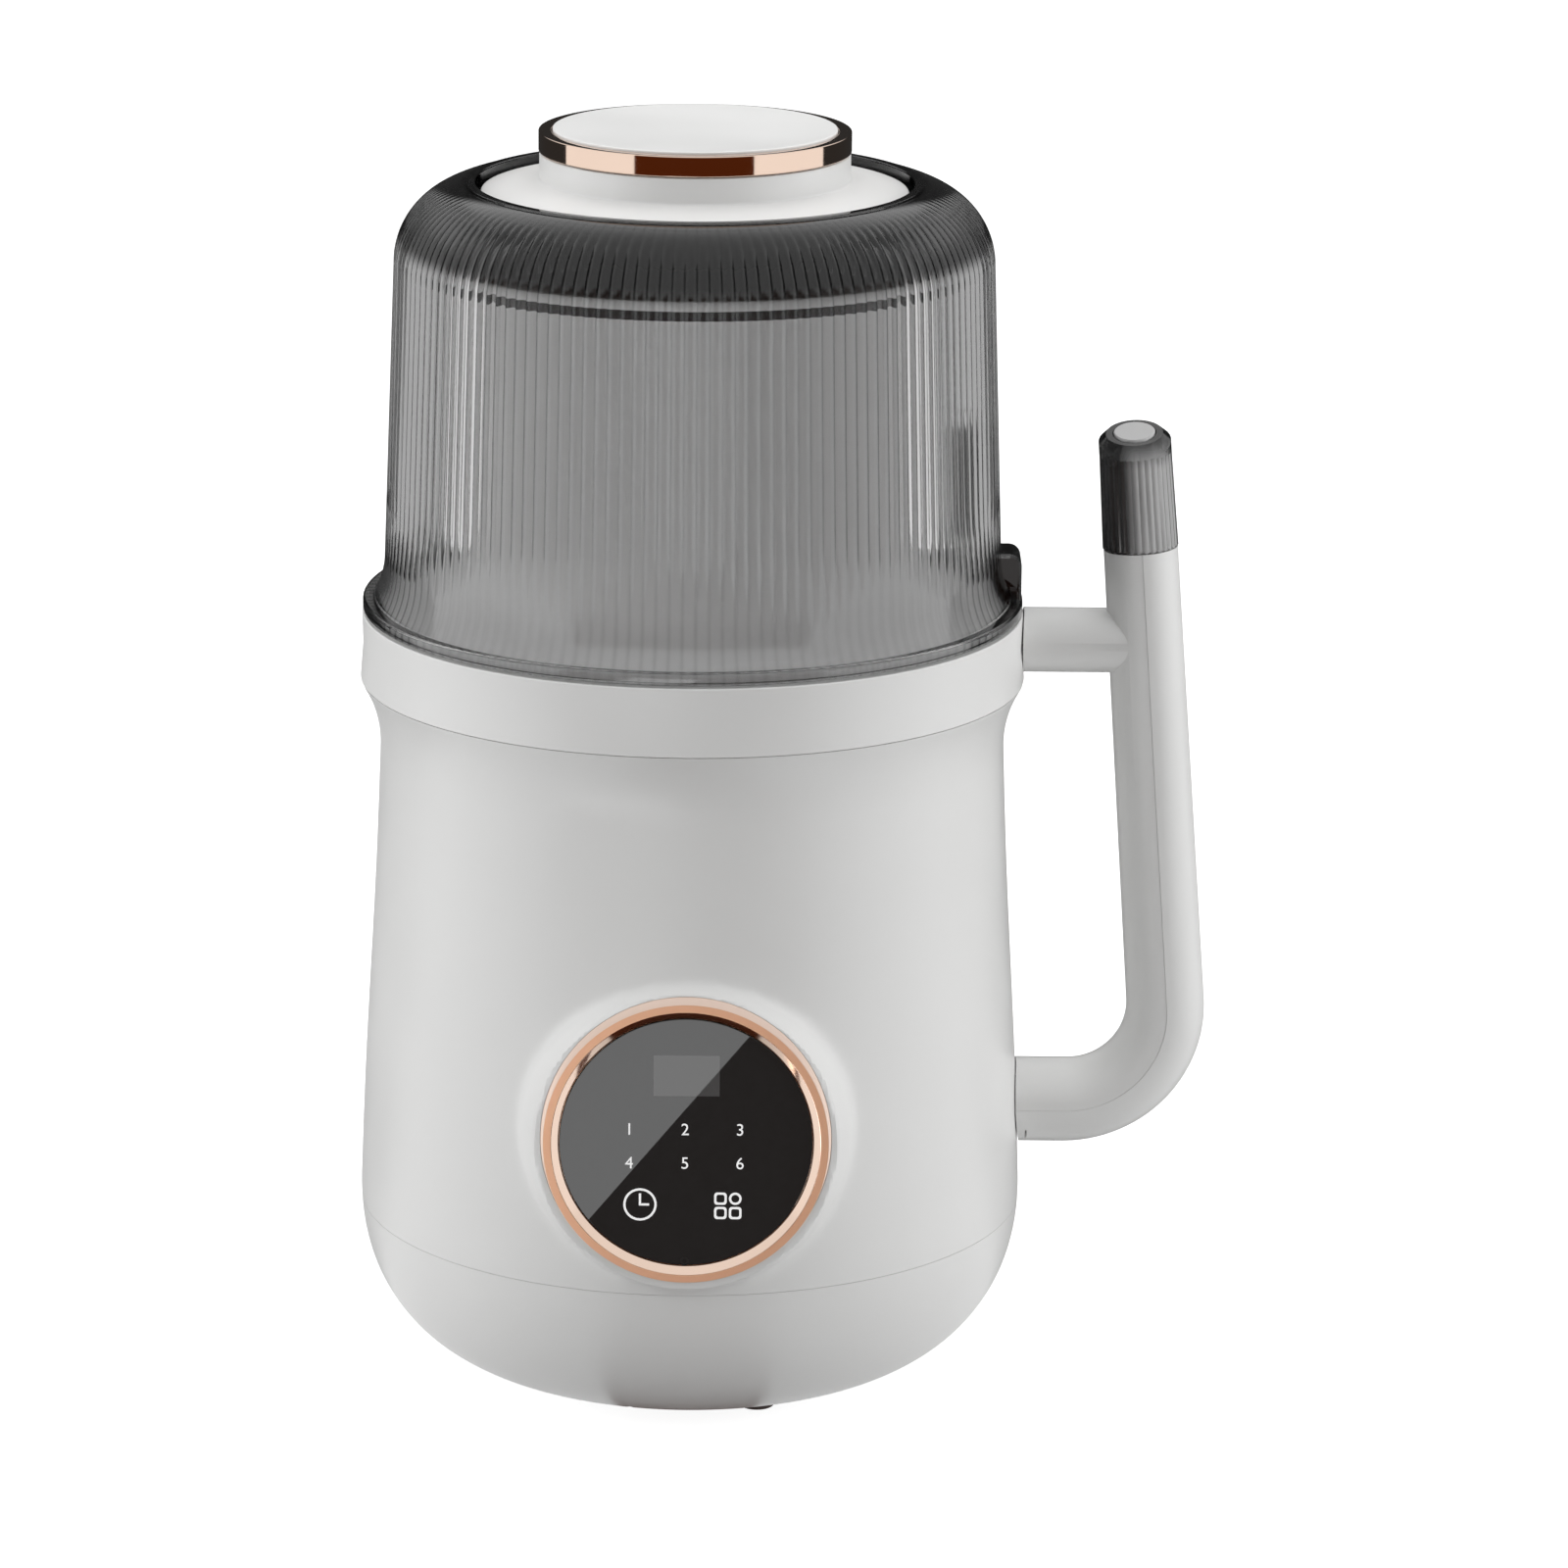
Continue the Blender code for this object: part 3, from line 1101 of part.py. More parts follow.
def make_hood_lining():
    outer = HOOD_WALL + LINER_SPACE
    inner = outer + LINER_WALL
    foot_r = REBATE_R - GAP
    foot_top = LINER_Z + LINER_FOOT_T
    slope = (HOOD_FOOT_R - SHOULDER_R) / (SHOULDER_Z - HOOD_FOOT_Z)
    low_r = HOOD_FOOT_R + slope * (HOOD_FOOT_Z - foot_top)
    outline = [(SHOULDER_R - outer, LINER_TOP_Z), (low_r - outer, foot_top), (foot_r, foot_top)]
    outline += [(foot_r, LINER_Z), (low_r - inner, LINER_Z), (SHOULDER_R - inner, LINER_TOP_Z)]
    as_part(turned("hood_liner", outline, RING_STEPS, closed=True), "light_grey_liner")
    seal_r = CUP_RIM_R - GAP
    seal = ring("hood_seal", seal_r, seal_r - SEAL_W, SEAL_Z, SEAL_Z + SEAL_T, RING_STEPS)
    as_part(seal, "silicone_black")
    centre = (LUG_REACH - MAGNET_IN, 0.0, HOOD_Z + GAP + MAGNET_H / 2)
    as_part(block("interlock_magnet", (MAGNET_D, MAGNET_W, MAGNET_H), centre), "steel_dark")


# Lid

def make_lid():
    skirt_low = LID_Z - LID_SKIRT_H
    skirt_in = LID_SKIRT_R - LID_SKIRT_T
    ledge_r = KNOB_CAP_R - KNOB_LEDGE_W - GAP
    spigot_z = KNOB_Z + KNOB_SPIGOT_H
    roof_z = KNOB_Z - LID_EDGE_T
    outline = [(0.0, spigot_z), (ledge_r, spigot_z), (ledge_r, KNOB_Z), (KNOB_SKIRT_R, KNOB_Z)]
    outline += [(KNOB_SKIRT_R, KNOB_SKIRT_Z), (LID_R - KNOB_EDGE, LID_TOP_Z), (LID_R, LID_TOP_Z - KNOB_EDGE)]
    outline += [(LID_R, LID_Z), (LID_SKIRT_R, LID_Z), (LID_SKIRT_R, skirt_low), (skirt_in, skirt_low)]
    outline += [(skirt_in, LID_Z), (LID_HOLLOW_R, LID_Z), (LID_HOLLOW_R, roof_z), (0.0, roof_z)]
    as_part(turned("lid_plate", outline, RING_STEPS), "white_shell")
    gasket_in = LID_SKIRT_R + GAP
    gasket_z = LID_LEDGE_Z + GAP
    gasket_top = LID_Z - GAP
    lip = LIP_IN_R - GAP
    outline = [(LID_R, gasket_top), (LID_R, gasket_z + LID_GASKET_T), (lip, gasket_z + LID_GASKET_T / 2)]
    outline += [(LID_R, gasket_z), (gasket_in, gasket_z), (gasket_in, gasket_top)]
    as_part(turned("lid_gasket", outline, RING_STEPS, closed=True), "silicone_black")


def make_knob():
    low = KNOB_Z + GAP
    top = low + KNOB_RING_H
    cap_low = top - KNOB_CAP_SINK
    ledge_r = KNOB_CAP_R - KNOB_LEDGE_W
    seat_r = KNOB_CAP_R + GAP
    outline = [(seat_r, top), (KNOB_R - KNOB_EDGE, top), (KNOB_R, top - KNOB_EDGE), (KNOB_R, low)]
    outline += [(ledge_r, low), (ledge_r, cap_low - GAP), (seat_r, cap_low - GAP)]
    as_part(turned("knob_ring", outline, RING_STEPS, closed=True), "rose_gold")
    cap_top = top + KNOB_CAP_PROUD
    edge = KNOB_EDGE
    dimple_r = KNOB_CAP_R / 10
    outline = [(0.0, cap_top - KNOB_DISH), (dimple_r, cap_top - KNOB_DISH / 2), (KNOB_CAP_R - edge, cap_top)]
    outline += [(KNOB_CAP_R, cap_top - edge), (KNOB_CAP_R, cap_low), (0.0, cap_low)]
    as_part(turned("knob_cap", outline, RING_STEPS), "white_shell")


# Handle

def handle_path(bend_points):
    """Points (x, z) along the handle's centre line: arm, bend and leaning tube."""
    across = Vector((math.cos(HANDLE_LEAN), math.sin(HANDLE_LEAN)))
    bend_z = ARM_Z + BEND_R
    line = HANDLE_X * across.x + HANDLE_REF_Z * across.y
    bend_x = (line - bend_z * across.y - BEND_R) / across.x
    points = [(body_radius(ARM_Z) - ARM_IN, ARM_Z)]
    turn_end = math.pi / 2 + HANDLE_LEAN
    for i in range(bend_points + 1):
        turn = turn_end * i / bend_points
        points.append((bend_x + BEND_R * math.sin(turn), bend_z - BEND_R * math.cos(turn)))
    top = handle_frame().translation - HANDLE_DIR * GAP
    points.append((top.x, top.z))
    return points


def handle_tube(name):
    curve = bpy.data.curves.new(name, "CURVE")
    curve.dimensions = "3D"
    curve.bevel_depth = 1.0
    curve.bevel_resolution = TUBE_FACETS
    curve.use_fill_caps = True
    path = handle_path(BEND_POINTS)
    spline = curve.splines.new("POLY")
    spline.points.add(len(path) - 1)
    for i, (point, (x, z)) in enumerate(zip(spline.points, path)):
        share = min(max((i - 1) / BEND_POINTS, 0.0), 1.0)
        point.co = (x, 0.0, z, 1.0)
        point.radius = ARM_R + (TUBE_LOW_R - ARM_R) * share
    spline.points[-1].radius = TUBE_TOP_R
    thing = bpy.data.objects.new(name, curve)
    CUTTERS.objects.link(thing)
    return solidified(thing)


def handle_side(name, outer):
    """Slab on one side of the handle's centre line, used to split it in two shells."""
    path = handle_path(BEND_POINTS + 1)
    top = Vector(path[-1]) + Vector((HANDLE_DIR.x, HANDLE_DIR.z)) * OVERRUN
    path[-1] = (top.x, top.y)
    shift = -GAP / 2 if outer else GAP / 2
    line = []
    for i, (x, z) in enumerate(path):
        before = Vector(path[max(i - 1, 0)])
        after = Vector(path[min(i + 1, len(path) - 1)])
        along = (after - before).normalized()
        line.append((x + along.y * shift, z - along.x * shift))
    room = ARM_R + ARM_R
    top_z = line[-1][1]
    if outer:
        far_x = HANDLE_X + room
        corners = [(far_x, top_z), (far_x, ARM_Z - room), (line[0][0] - OVERRUN, ARM_Z - room)]
    else:
        near_x = line[0][0] - OVERRUN
        corners = [(near_x, top_z)]
    start = (line[0][0] - OVERRUN, line[0][1])
    return plate(name, [start] + line + corners, -room, room, Matrix.Rotation(math.pi / 2, 4, "X"))


def cut_switch_bore(shell, name):
    bore = disc(name, SWITCH_BORE_R, -SWITCH_BORE_H, OVERRUN, SMALL_STEPS, handle_frame())
    return cut(shell, bore)


def cut_screw(shell, name, x, z, length):
    return cut(shell, disc(name, SCREW_R + GAP, 0.0, length, TINY_STEPS, along_x(x, 0.0, z)))


def make_handle():
    body = body_form("body_form", GAP)
    inner = handle_tube("handle_inner_shell")
    rise = (CROSSBAR_Z - HANDLE_REF_Z) / HANDLE_DIR.z
    bar_end = (HANDLE_REF + HANDLE_DIR * rise).x
    bar_start = COLLAR_IN_R
    bar_place = along_x(bar_start, 0.0, CROSSBAR_Z)
    bar = disc("crossbar", CROSSBAR_R, 0.0, bar_end - bar_start, SMALL_STEPS, bar_place)
    join(inner, bar)
    cut(inner, handle_side("outer_side", outer=True))
    cut(inner, body)
    cut_switch_bore(inner, "inner_switch_bore")
    arm_start = body_radius(ARM_Z) - ARM_IN
    cut_screw(inner, "arm_screw_bore", arm_start, ARM_Z + ARM_SCREW_RISE, ARM_SCREW_L + ARM_IN)
    cut_screw(inner, "bar_screw_bore", bar_start, CROSSBAR_Z - BAR_SCREW_DROP, ARM_SCREW_L + GAP)
    as_part(inner, "white_shell")
    outer = handle_tube("handle_outer_shell")
    cut(outer, handle_side("inner_side", outer=False))
    cut(outer, body)
    cut_switch_bore(outer, "outer_switch_bore")
    as_part(outer, "white_shell")
    seat_x = body_radius(ARM_Z + ARM_SCREW_RISE + SCREW_HEAD_R) - WALL - GAP - GAP
    screw_solid("handle_screw_lower", ARM_SCREW_L, along_x(seat_x, 0.0, ARM_Z + ARM_SCREW_RISE))
    screw_x = COLLAR_IN_R - GAP
    screw_solid("handle_screw_upper", ARM_SCREW_L, along_x(screw_x, 0.0, CROSSBAR_Z - BAR_SCREW_DROP))


def crown_tool(name, radius, raise_by):
    """Tilted cone whose top plane and edge shape the cap's crown and the button."""
    top = Matrix.Translation((0.0, 0.0, CAP_H + CAP_CROWN_H + raise_by))
    place = handle_frame() @ top @ Matrix.Rotation(CROWN_TILT, 4, "X")
    depth = CAP_H + CAP_CROWN_H + CAP_H
    outline = [(0.0, 0.0), (radius, 0.0), (radius + depth, -depth), (0.0, -depth)]
    return turned(name, outline, SMALL_STEPS, place=place)


def cap_strength(radius, height):
    return 1.0 if height < CAP_H + GAP else 0.0


def make_handle_cap():
    top = CAP_H + CAP_CROWN_H + CAP_CROWN_H
    outline = [(0.0, top), (CAP_TOP_R, top), (CAP_TOP_R, CAP_H), (TUBE_TOP_R, 0.0), (0.0, 0.0)]
    cap = turned("handle_cap", outline, CAP_FLUTES * 2, place=handle_frame())
    cap = press_grooves(cap, CAP_FLUTES, CAP_FLUTE_DEPTH, cap_strength)
    overlap_with(cap, crown_tool("crown_form", CROWN_R, 0.0))
    inner_r = CAP_TOP_R - CAP_WALL
    hole_r = BUTTON_R + GAP
    hollow = [(0.0, top + OVERRUN), (hole_r, top + OVERRUN), (hole_r, ROOF_Z), (inner_r, ROOF_Z)]
    hollow += [(inner_r, -OVERRUN), (0.0, -OVERRUN)]
    cut(cap, turned("cap_hollow", hollow, SMALL_STEPS, place=handle_frame()))
    return as_part(cap, "smoked_clear")


def make_button():
    flange_top = ROOF_Z - GAP
    flange_low = flange_top - BUTTON_FLANGE_T
    flange_r = BUTTON_R + BUTTON_FLANGE_W
    top = CAP_H + CAP_CROWN_H + CAP_CROWN_H
    outline = [(0.0, top), (BUTTON_R, top), (BUTTON_R, flange_top), (flange_r, flange_top)]
    outline += [(flange_r, flange_low), (STEM_R, flange_low), (STEM_R, STEM_END_Z), (0.0, STEM_END_Z)]
    button = turned("handle_button", outline, SMALL_STEPS, place=handle_frame())
    overlap_with(button, crown_tool("button_form", BUTTON_R - BUTTON_PROUD / 2, BUTTON_PROUD))
    as_part(button, "button_grey")
    bore_r = STEM_R + GAP
    outline = [(GUIDE_R, GUIDE_H), (GUIDE_R, GUIDE_FLANGE_T), (GUIDE_FLANGE_R, GUIDE_FLANGE_T)]
    outline += [(GUIDE_FLANGE_R, 0.0), (bore_r, 0.0), (bore_r, GUIDE_H)]
    guide = turned("button_guide", outline, SMALL_STEPS, closed=True, place=handle_frame())
    as_part(guide, "dark_moulding")
    pin_top = STEM_END_Z - BUTTON_TRAVEL - GAP
    body_top = pin_top - SWITCH_PIN_H
    centre = (0.0, 0.0, body_top - SWITCH_H / 2)
    switch = block("start_switch", (SWITCH_W, SWITCH_W, SWITCH_H), centre, handle_frame())
    pin = disc("switch_pin", SWITCH_PIN_R, body_top - SWITCH_PIN_R, pin_top, TINY_STEPS, handle_frame())
    join(switch, pin)
    as_part(switch, "dark_moulding")
    make_spring(flange_low)


def make_spring(high):
    """Coil between the guide's top and the button's flange, round the stem."""
    coil_r = STEM_R + SPRING_SPACE + SPRING_WIRE_R
    low = GUIDE_H + GAP + SPRING_WIRE_R
    rise = high - GAP - SPRING_WIRE_R - low
    count = SPRING_TURNS * SPRING_POINTS
    curve = bpy.data.curves.new("button_spring", "CURVE")
    curve.dimensions = "3D"
    curve.bevel_depth = SPRING_WIRE_R
    curve.bevel_resolution = 1
    curve.use_fill_caps = True
    spline = curve.splines.new("POLY")
    spline.points.add(count)
    for i, point in enumerate(spline.points):
        turn = 2 * math.pi * i / SPRING_POINTS
        point.co = (coil_r * math.cos(turn), coil_r * math.sin(turn), low + rise * i / count, 1.0)
    thing = bpy.data.objects.new("button_spring", curve)
    CUTTERS.objects.link(thing)
    thing.matrix_world = handle_frame()
    return as_part(solidified(thing), "stainless")


make_base_pan()
make_feet()
make_base_screws()
make_body_shell()
make_collar_ring()
make_inner_cup()
make_cup_fittings()
make_chassis()
make_motor()
make_cooling_fan()
make_blade_set()
make_boards()
make_inlet()
make_panel()
make_hood_shell()
make_hood_lining()
make_lid()
make_knob()
make_handle()
make_handle_cap()
make_button()
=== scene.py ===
# %% [markdown]
# # Soy milk maker
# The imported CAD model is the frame. Each visible piece is made again here with
# finer surfaces, in the same place, and the pieces inside keep their CAD mesh and
# get a material. All sizes are in metres, +Z is up and the panel faces -Y.

# %% Load the frame
from math import asin, atan2, cos, exp, hypot, pi, radians, sin, sqrt, tan

import bpy
from mathutils import Matrix, Vector


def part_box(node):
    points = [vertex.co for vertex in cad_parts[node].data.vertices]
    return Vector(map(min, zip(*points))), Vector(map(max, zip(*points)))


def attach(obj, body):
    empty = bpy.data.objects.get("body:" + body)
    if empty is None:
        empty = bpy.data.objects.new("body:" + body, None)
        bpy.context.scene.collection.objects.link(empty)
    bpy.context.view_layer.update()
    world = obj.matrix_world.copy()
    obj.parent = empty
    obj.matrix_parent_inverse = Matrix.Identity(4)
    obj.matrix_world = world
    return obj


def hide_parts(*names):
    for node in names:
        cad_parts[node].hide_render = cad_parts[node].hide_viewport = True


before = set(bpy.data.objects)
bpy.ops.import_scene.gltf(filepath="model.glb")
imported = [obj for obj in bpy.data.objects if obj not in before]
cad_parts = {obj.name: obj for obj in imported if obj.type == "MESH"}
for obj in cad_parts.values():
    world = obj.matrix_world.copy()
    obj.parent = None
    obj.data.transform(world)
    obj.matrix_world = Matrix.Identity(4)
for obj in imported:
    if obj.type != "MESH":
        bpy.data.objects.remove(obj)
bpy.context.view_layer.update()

# %% [markdown]
# ## Camera
# A long lens from 1.8 m looks down on the machine by 15 degrees. The machine
# stands left of the picture's middle, so the camera turns right instead of
# shifting the lens, and rolls by half a degree as the photograph does.

# %% Camera
FLOOR_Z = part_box("foot_1")[0].z
FOCAL_PIXELS = 6966.0
PICTURE_PIXELS = 1600.0
SENSOR_MM = 36.0
CAMERA_REACH = 1.68
CAMERA_HEIGHT = 0.61
CAMERA_SIDE = radians(0.7)
CAMERA_PITCH = radians(15.25)
CAMERA_YAW = radians(0.80)
CAMERA_ROLL = radians(0.50)

bpy.ops.object.camera_add()
camera = bpy.context.object
camera.data.sensor_width = SENSOR_MM
camera.data.lens = FOCAL_PIXELS / PICTURE_PIXELS * SENSOR_MM
camera.data.clip_start = 0.05
camera.data.clip_end = 40.0
stand = Vector((sin(CAMERA_SIDE), -cos(CAMERA_SIDE), 0.0)) * CAMERA_REACH
stand.z = CAMERA_HEIGHT
aim = Matrix.Rotation(CAMERA_SIDE - CAMERA_YAW, 4, "Z")
aim = aim @ Matrix.Rotation(pi / 2 - CAMERA_PITCH, 4, "X")
camera.matrix_world = Matrix.Translation(stand) @ aim @ Matrix.Rotation(CAMERA_ROLL, 4, "Z")
bpy.context.scene.camera = camera
bpy.context.scene.view_settings.view_transform = "Standard"
print("lens", round(camera.data.lens, 1), "mm, floor at", round(FLOOR_Z, 4))

# %% [markdown]
# ## Colours and nodes
# Colours are written as the sRGB hex that a picture shows, and one function turns
# them into the linear numbers that shaders use. A second one adds a node and sets
# or links its sockets in the same call, which keeps each material readable.

# %% Colour and node helpers
GAMMA_KNEE = 0.04045


def linear(hex_colour):
    """Linear RGBA of an sRGB hex colour."""
    channels = [int(hex_colour[i:i + 2], 16) / 255 for i in (1, 3, 5)]
    curve = [c / 12.92 if c <= GAMMA_KNEE else ((c + 0.055) / 1.055) ** 2.4 for c in channels]
    return (*curve, 1.0)


def grey(level):
    """A neutral colour of one linear level."""
    return (level, level, level, 1.0)


def put(tree, socket, value):
    """Link a socket to another one, or set its value."""
    if isinstance(value, bpy.types.NodeSocket):
        tree.links.new(value, socket)
    else:
        socket.default_value = value


def add_node(tree, kind, sockets=None, **settings):
    """Add a node, set its own settings, and set or link its input sockets."""
    node = tree.nodes.new("ShaderNode" + kind)
    for name, value in settings.items():
        setattr(node, name, value)
    for key, value in (sockets or {}).items():
        put(tree, node.inputs[key], value)
    return node


def maths(tree, operation, first, second=0.0, third=0.0):
    """One Math node, and its result."""
    sockets = {0: first, 1: second, 2: third}
    return add_node(tree, "Math", sockets, operation=operation).outputs[0]


def ramp_between(tree, value, low, high, start=0.0, end=1.0):
    """A smooth step of a value from start to end."""
    sockets = {"Value": value, "From Min": low, "From Max": high, "To Min": start, "To Max": end}
    return add_node(tree, "MapRange", sockets, interpolation_type="SMOOTHSTEP").outputs[0]


def mixed_colour(tree, share, first, second):
    """Blend two colours by a share from 0 to 1."""
    return add_node(tree, "Mix", {0: share, 6: first, 7: second}, data_type="RGBA").outputs[2]


def own_place(tree):
    """The object's own coordinates."""
    return add_node(tree, "TexCoord").outputs["Object"]


def axes_of(tree, place):
    """The X, Y and Z outputs of a place or direction."""
    return add_node(tree, "SeparateXYZ", {"Vector": place}).outputs


def noise(tree, scale, stretch=(1.0, 1.0, 1.0)):
    """Noise on the object's own coordinates, in features per metre."""
    spread = add_node(tree, "Mapping", {"Vector": own_place(tree), "Scale": stretch})
    sockets = {"Vector": spread.outputs[0], "Scale": scale, "Detail": NOISE_DETAIL}
    return add_node(tree, "TexNoise", sockets).outputs["Fac"]


def varied(tree, cloud, low, high):
    """A value that noise moves between low and high; noise stays near its middle."""
    return ramp_between(tree, cloud, NOISE_LOW, NOISE_HIGH, low, high)


def bump(tree, height, strength, distance):
    """A shading normal that follows a height."""
    sockets = {"Height": height, "Strength": strength, "Distance": distance}
    return add_node(tree, "Bump", sockets).outputs[0]


def new_material(name):
    """A material with an empty tree but for its Principled shader."""
    made = bpy.data.materials.new(name)
    made.use_nodes = True
    return made, made.node_tree, made.node_tree.nodes["Principled BSDF"]


def feed(tree, shader, **sockets):
    """Set or link the shader's sockets; an underscore in a name stands for a space."""
    for name, value in sockets.items():
        put(tree, shader.inputs[name.replace("_", " ")], value)


NOISE_LOW, NOISE_HIGH, NOISE_DETAIL = 0.3, 0.7, 2.0
MOTTLE, GLOSS_SPREAD, GRAIN_STRENGTH, GRAIN_DEPTH = 28.0, 0.03, 0.12, 0.00003
TARNISH, BRUSHING, DULLER, GLOSS_RANGE, LINE_DEPTH = 60.0, 900.0, 0.94, 0.2, 0.00002


def moulded_plastic(name, pale, deep, roughness, grain=1400.0, metal=0.0):
    """Injection-moulded plastic: a trace of mottling in colour and gloss, and a fine grain."""
    made, tree, shader = new_material(name)
    cloud = noise(tree, MOTTLE)
    colour = mixed_colour(tree, cloud, linear(deep), linear(pale))
    gloss = varied(tree, cloud, roughness - GLOSS_SPREAD, roughness + GLOSS_SPREAD)
    rough = bump(tree, noise(tree, grain), GRAIN_STRENGTH, GRAIN_DEPTH)
    feed(tree, shader, Base_Color=colour, Roughness=gloss, Normal=rough, Metallic=metal)
    return made


def plated_metal(name, colour, roughness, lines=0.0, across=(1.0, 1.0, 1.0)):
    """Plated or brushed metal: its gloss varies a little, and lines is how deep it is brushed."""
    made, tree, shader = new_material(name)
    cloud = noise(tree, TARNISH)
    brushed = noise(tree, BRUSHING, across)
    bright = linear(colour)
    dark = (*(c * DULLER for c in bright[:3]), 1.0)
    gloss = varied(tree, brushed, roughness * (1 - GLOSS_RANGE), roughness * (1 + GLOSS_RANGE))
    feed(tree, shader, Base_Color=mixed_colour(tree, cloud, dark, bright), Metallic=1.0, Roughness=gloss)
    if lines:
        feed(tree, shader, Normal=bump(tree, brushed, lines, LINE_DEPTH))
    return made


# %% [markdown]
# ## Shaping helpers
# Most pieces are turned: a plane merged to one point is extruded along an outline
# and spun round the axis. Corners get a small radius first, because every real
# moulding has one and it is what catches the light.

# %% Shaping helpers
IDENTITY = Matrix.Identity(4)
UPRIGHT = Matrix.Rotation(pi / 2, 4, "X")
WELD = 0.000001
CREASE = radians(32.0)
STRAIGHT, SHARP = radians(158.0), radians(40.0)
CORNER_SHARE = 0.45
BIG_STEPS, BAR_STEPS, SMALL_STEPS = 256, 96, 64


def only(thing):
    """Select one object and nothing else, and make it active."""
    bpy.ops.object.select_all(action="DESELECT")
    thing.select_set(True)
    bpy.context.view_layer.objects.active = thing


def at(x, y, z):
    """A move to a place."""
    return Matrix.Translation((x, y, z))


def unit(value):
    """A value held between 0 and 1."""
    return min(max(value, 0.0), 1.0)


def soften(outline, radius, count=4, closed=False):
    """Round each corner of an outline, up to a radius and where its sides leave room."""
    points = []
    last = len(outline) - 1
    for i, spot in enumerate(outline):
        here = Vector(spot)
        back = Vector(outline[i - 1]) - here
        ahead = Vector(outline[(i + 1) % len(outline)]) - here
        at_end = not closed and i in (0, last)
        if at_end or min(back.length, ahead.length) < WELD or back.angle(ahead) > STRAIGHT:
            points.append(tuple(here))
            continue
        reach = min(radius, back.length * CORNER_SHARE, ahead.length * CORNER_SHARE)
        start = here + back.normalized() * reach
        end = here + ahead.normalized() * reach
        for k in range(count + 1):
            t = k / count
            points.append(tuple(start * (1 - t) ** 2 + here * 2 * t * (1 - t) + end * t ** 2))
    return points


def point_object(name, spot):
    """A plane merged to one vertex at a place, left in edit mode, to be extruded from."""
    bpy.ops.object.select_all(action="DESELECT")
    bpy.ops.mesh.primitive_plane_add(size=0.01)
    thing = bpy.context.object
    thing.name = name
    bpy.ops.object.mode_set(mode="EDIT")
    bpy.ops.mesh.select_all(action="SELECT")
    bpy.ops.mesh.merge(type="CENTER")
    bpy.ops.transform.translate(value=spot)
    return thing


def draw(spots):
    """Extrude the selected vertex from place to place."""
    for start, end in zip(spots, spots[1:]):
        step = tuple(b - a for a, b in zip(start, end))
        bpy.ops.mesh.extrude_region_move(TRANSFORM_OT_translate={"value": step})


def closed_up(thing, place):
    """Weld the mesh, turn its faces outwards, and put it in its place."""
    bpy.ops.mesh.select_all(action="SELECT")
    bpy.ops.mesh.remove_doubles(threshold=WELD)
    bpy.ops.mesh.normals_make_consistent(inside=False)
    bpy.ops.object.mode_set(mode="OBJECT")
    thing.data.transform(place)
    return thing


def spun(name, outline, steps=BIG_STEPS, place=IDENTITY, closed=False):
    """Turn an outline of (radius, height) points about Z."""
    spots = [(radius, 0.0, height) for radius, height in outline]
    if closed:
        spots.append(spots[0])
    thing = point_object(name, spots[0])
    draw(spots)
    bpy.ops.mesh.select_all(action="SELECT")
    bpy.ops.mesh.spin(steps=steps, angle=2 * pi, center=(0, 0, 0), axis=(0, 0, 1))
    return closed_up(thing, place)


def slab(name, outline, low, high, place=IDENTITY):
    """Fill an outline of (x, y) points and extrude it from one height to another."""
    spots = [(x, y, low) for x, y in outline]
    spots.append(spots[0])
    thing = point_object(name, spots[0])
    draw(spots)
    bpy.ops.mesh.select_all(action="SELECT")
    bpy.ops.mesh.remove_doubles(threshold=WELD)
    bpy.ops.mesh.edge_face_add()
    bpy.ops.mesh.extrude_region_move(TRANSFORM_OT_translate={"value": (0, 0, high - low)})
    return closed_up(thing, place)


def modified(thing, kind, **settings):
    """Give an object a modifier with its settings, and apply it."""
    only(thing)
    change = thing.modifiers.new(kind.lower(), kind)
    for name, value in settings.items():
        setattr(change, name, value)
    bpy.ops.object.modifier_apply(modifier=change.name)
    return thing


def combined(thing, other, operation):
    """Union, difference or intersection with another object, which is used up."""
    modified(thing, "BOOLEAN", operation=operation, solver="EXACT", object=other)
    bpy.data.objects.remove(other, do_unlink=True)
    return thing


def cut(thing, tool):
    """Cut one object out of another."""
    return combined(thing, tool, "DIFFERENCE")


def bevelled(thing, width, segments=2):
    """Round the sharp edges."""
    return modified(thing, "BEVEL", width=width, segments=segments, limit_method="ANGLE", angle_limit=SHARP)


def joined(thing, *others):
    """Join other objects into this one as separate islands."""
    only(thing)
    for other in others:
        other.select_set(True)
    bpy.ops.object.join()
    return thing


def finished(thing, body, material, slot, *nodes):
    """Shade a piece, give it its material and body, and hide the CAD nodes it stands for; the slot is not
    used.

    Weighted normals keep the flats flat, so that only the round corners bend the light.
    """
    only(thing)
    bpy.ops.object.shade_smooth_by_angle(angle=CREASE)
    modified(thing, "WEIGHTED_NORMAL", keep_sharp=True)
    thing.data.materials.clear()
    thing.data.materials.append(material)
    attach(thing, body)
    if nodes:
        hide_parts(*nodes)
    print(thing.name, len(thing.data.polygons), "faces on", body)
    return thing


def turned(node, outline, body, material, slot, rounding=0.0, closed=False, place=IDENTITY):
    """Spin a whole piece, with its corners rounded, and finish it in place of its CAD node."""
    if rounding:
        outline = soften(outline, rounding, closed=closed)
    return finished(spun(node + "_skin", outline, BIG_STEPS, place, closed), body, material, slot, node)


def ribbed(spot, count):
    """A ripple from 0 to 1, so many times round the axis, with narrow crests."""
    return (0.5 + 0.5 * cos(atan2(spot.y, spot.x) * count)) ** 2


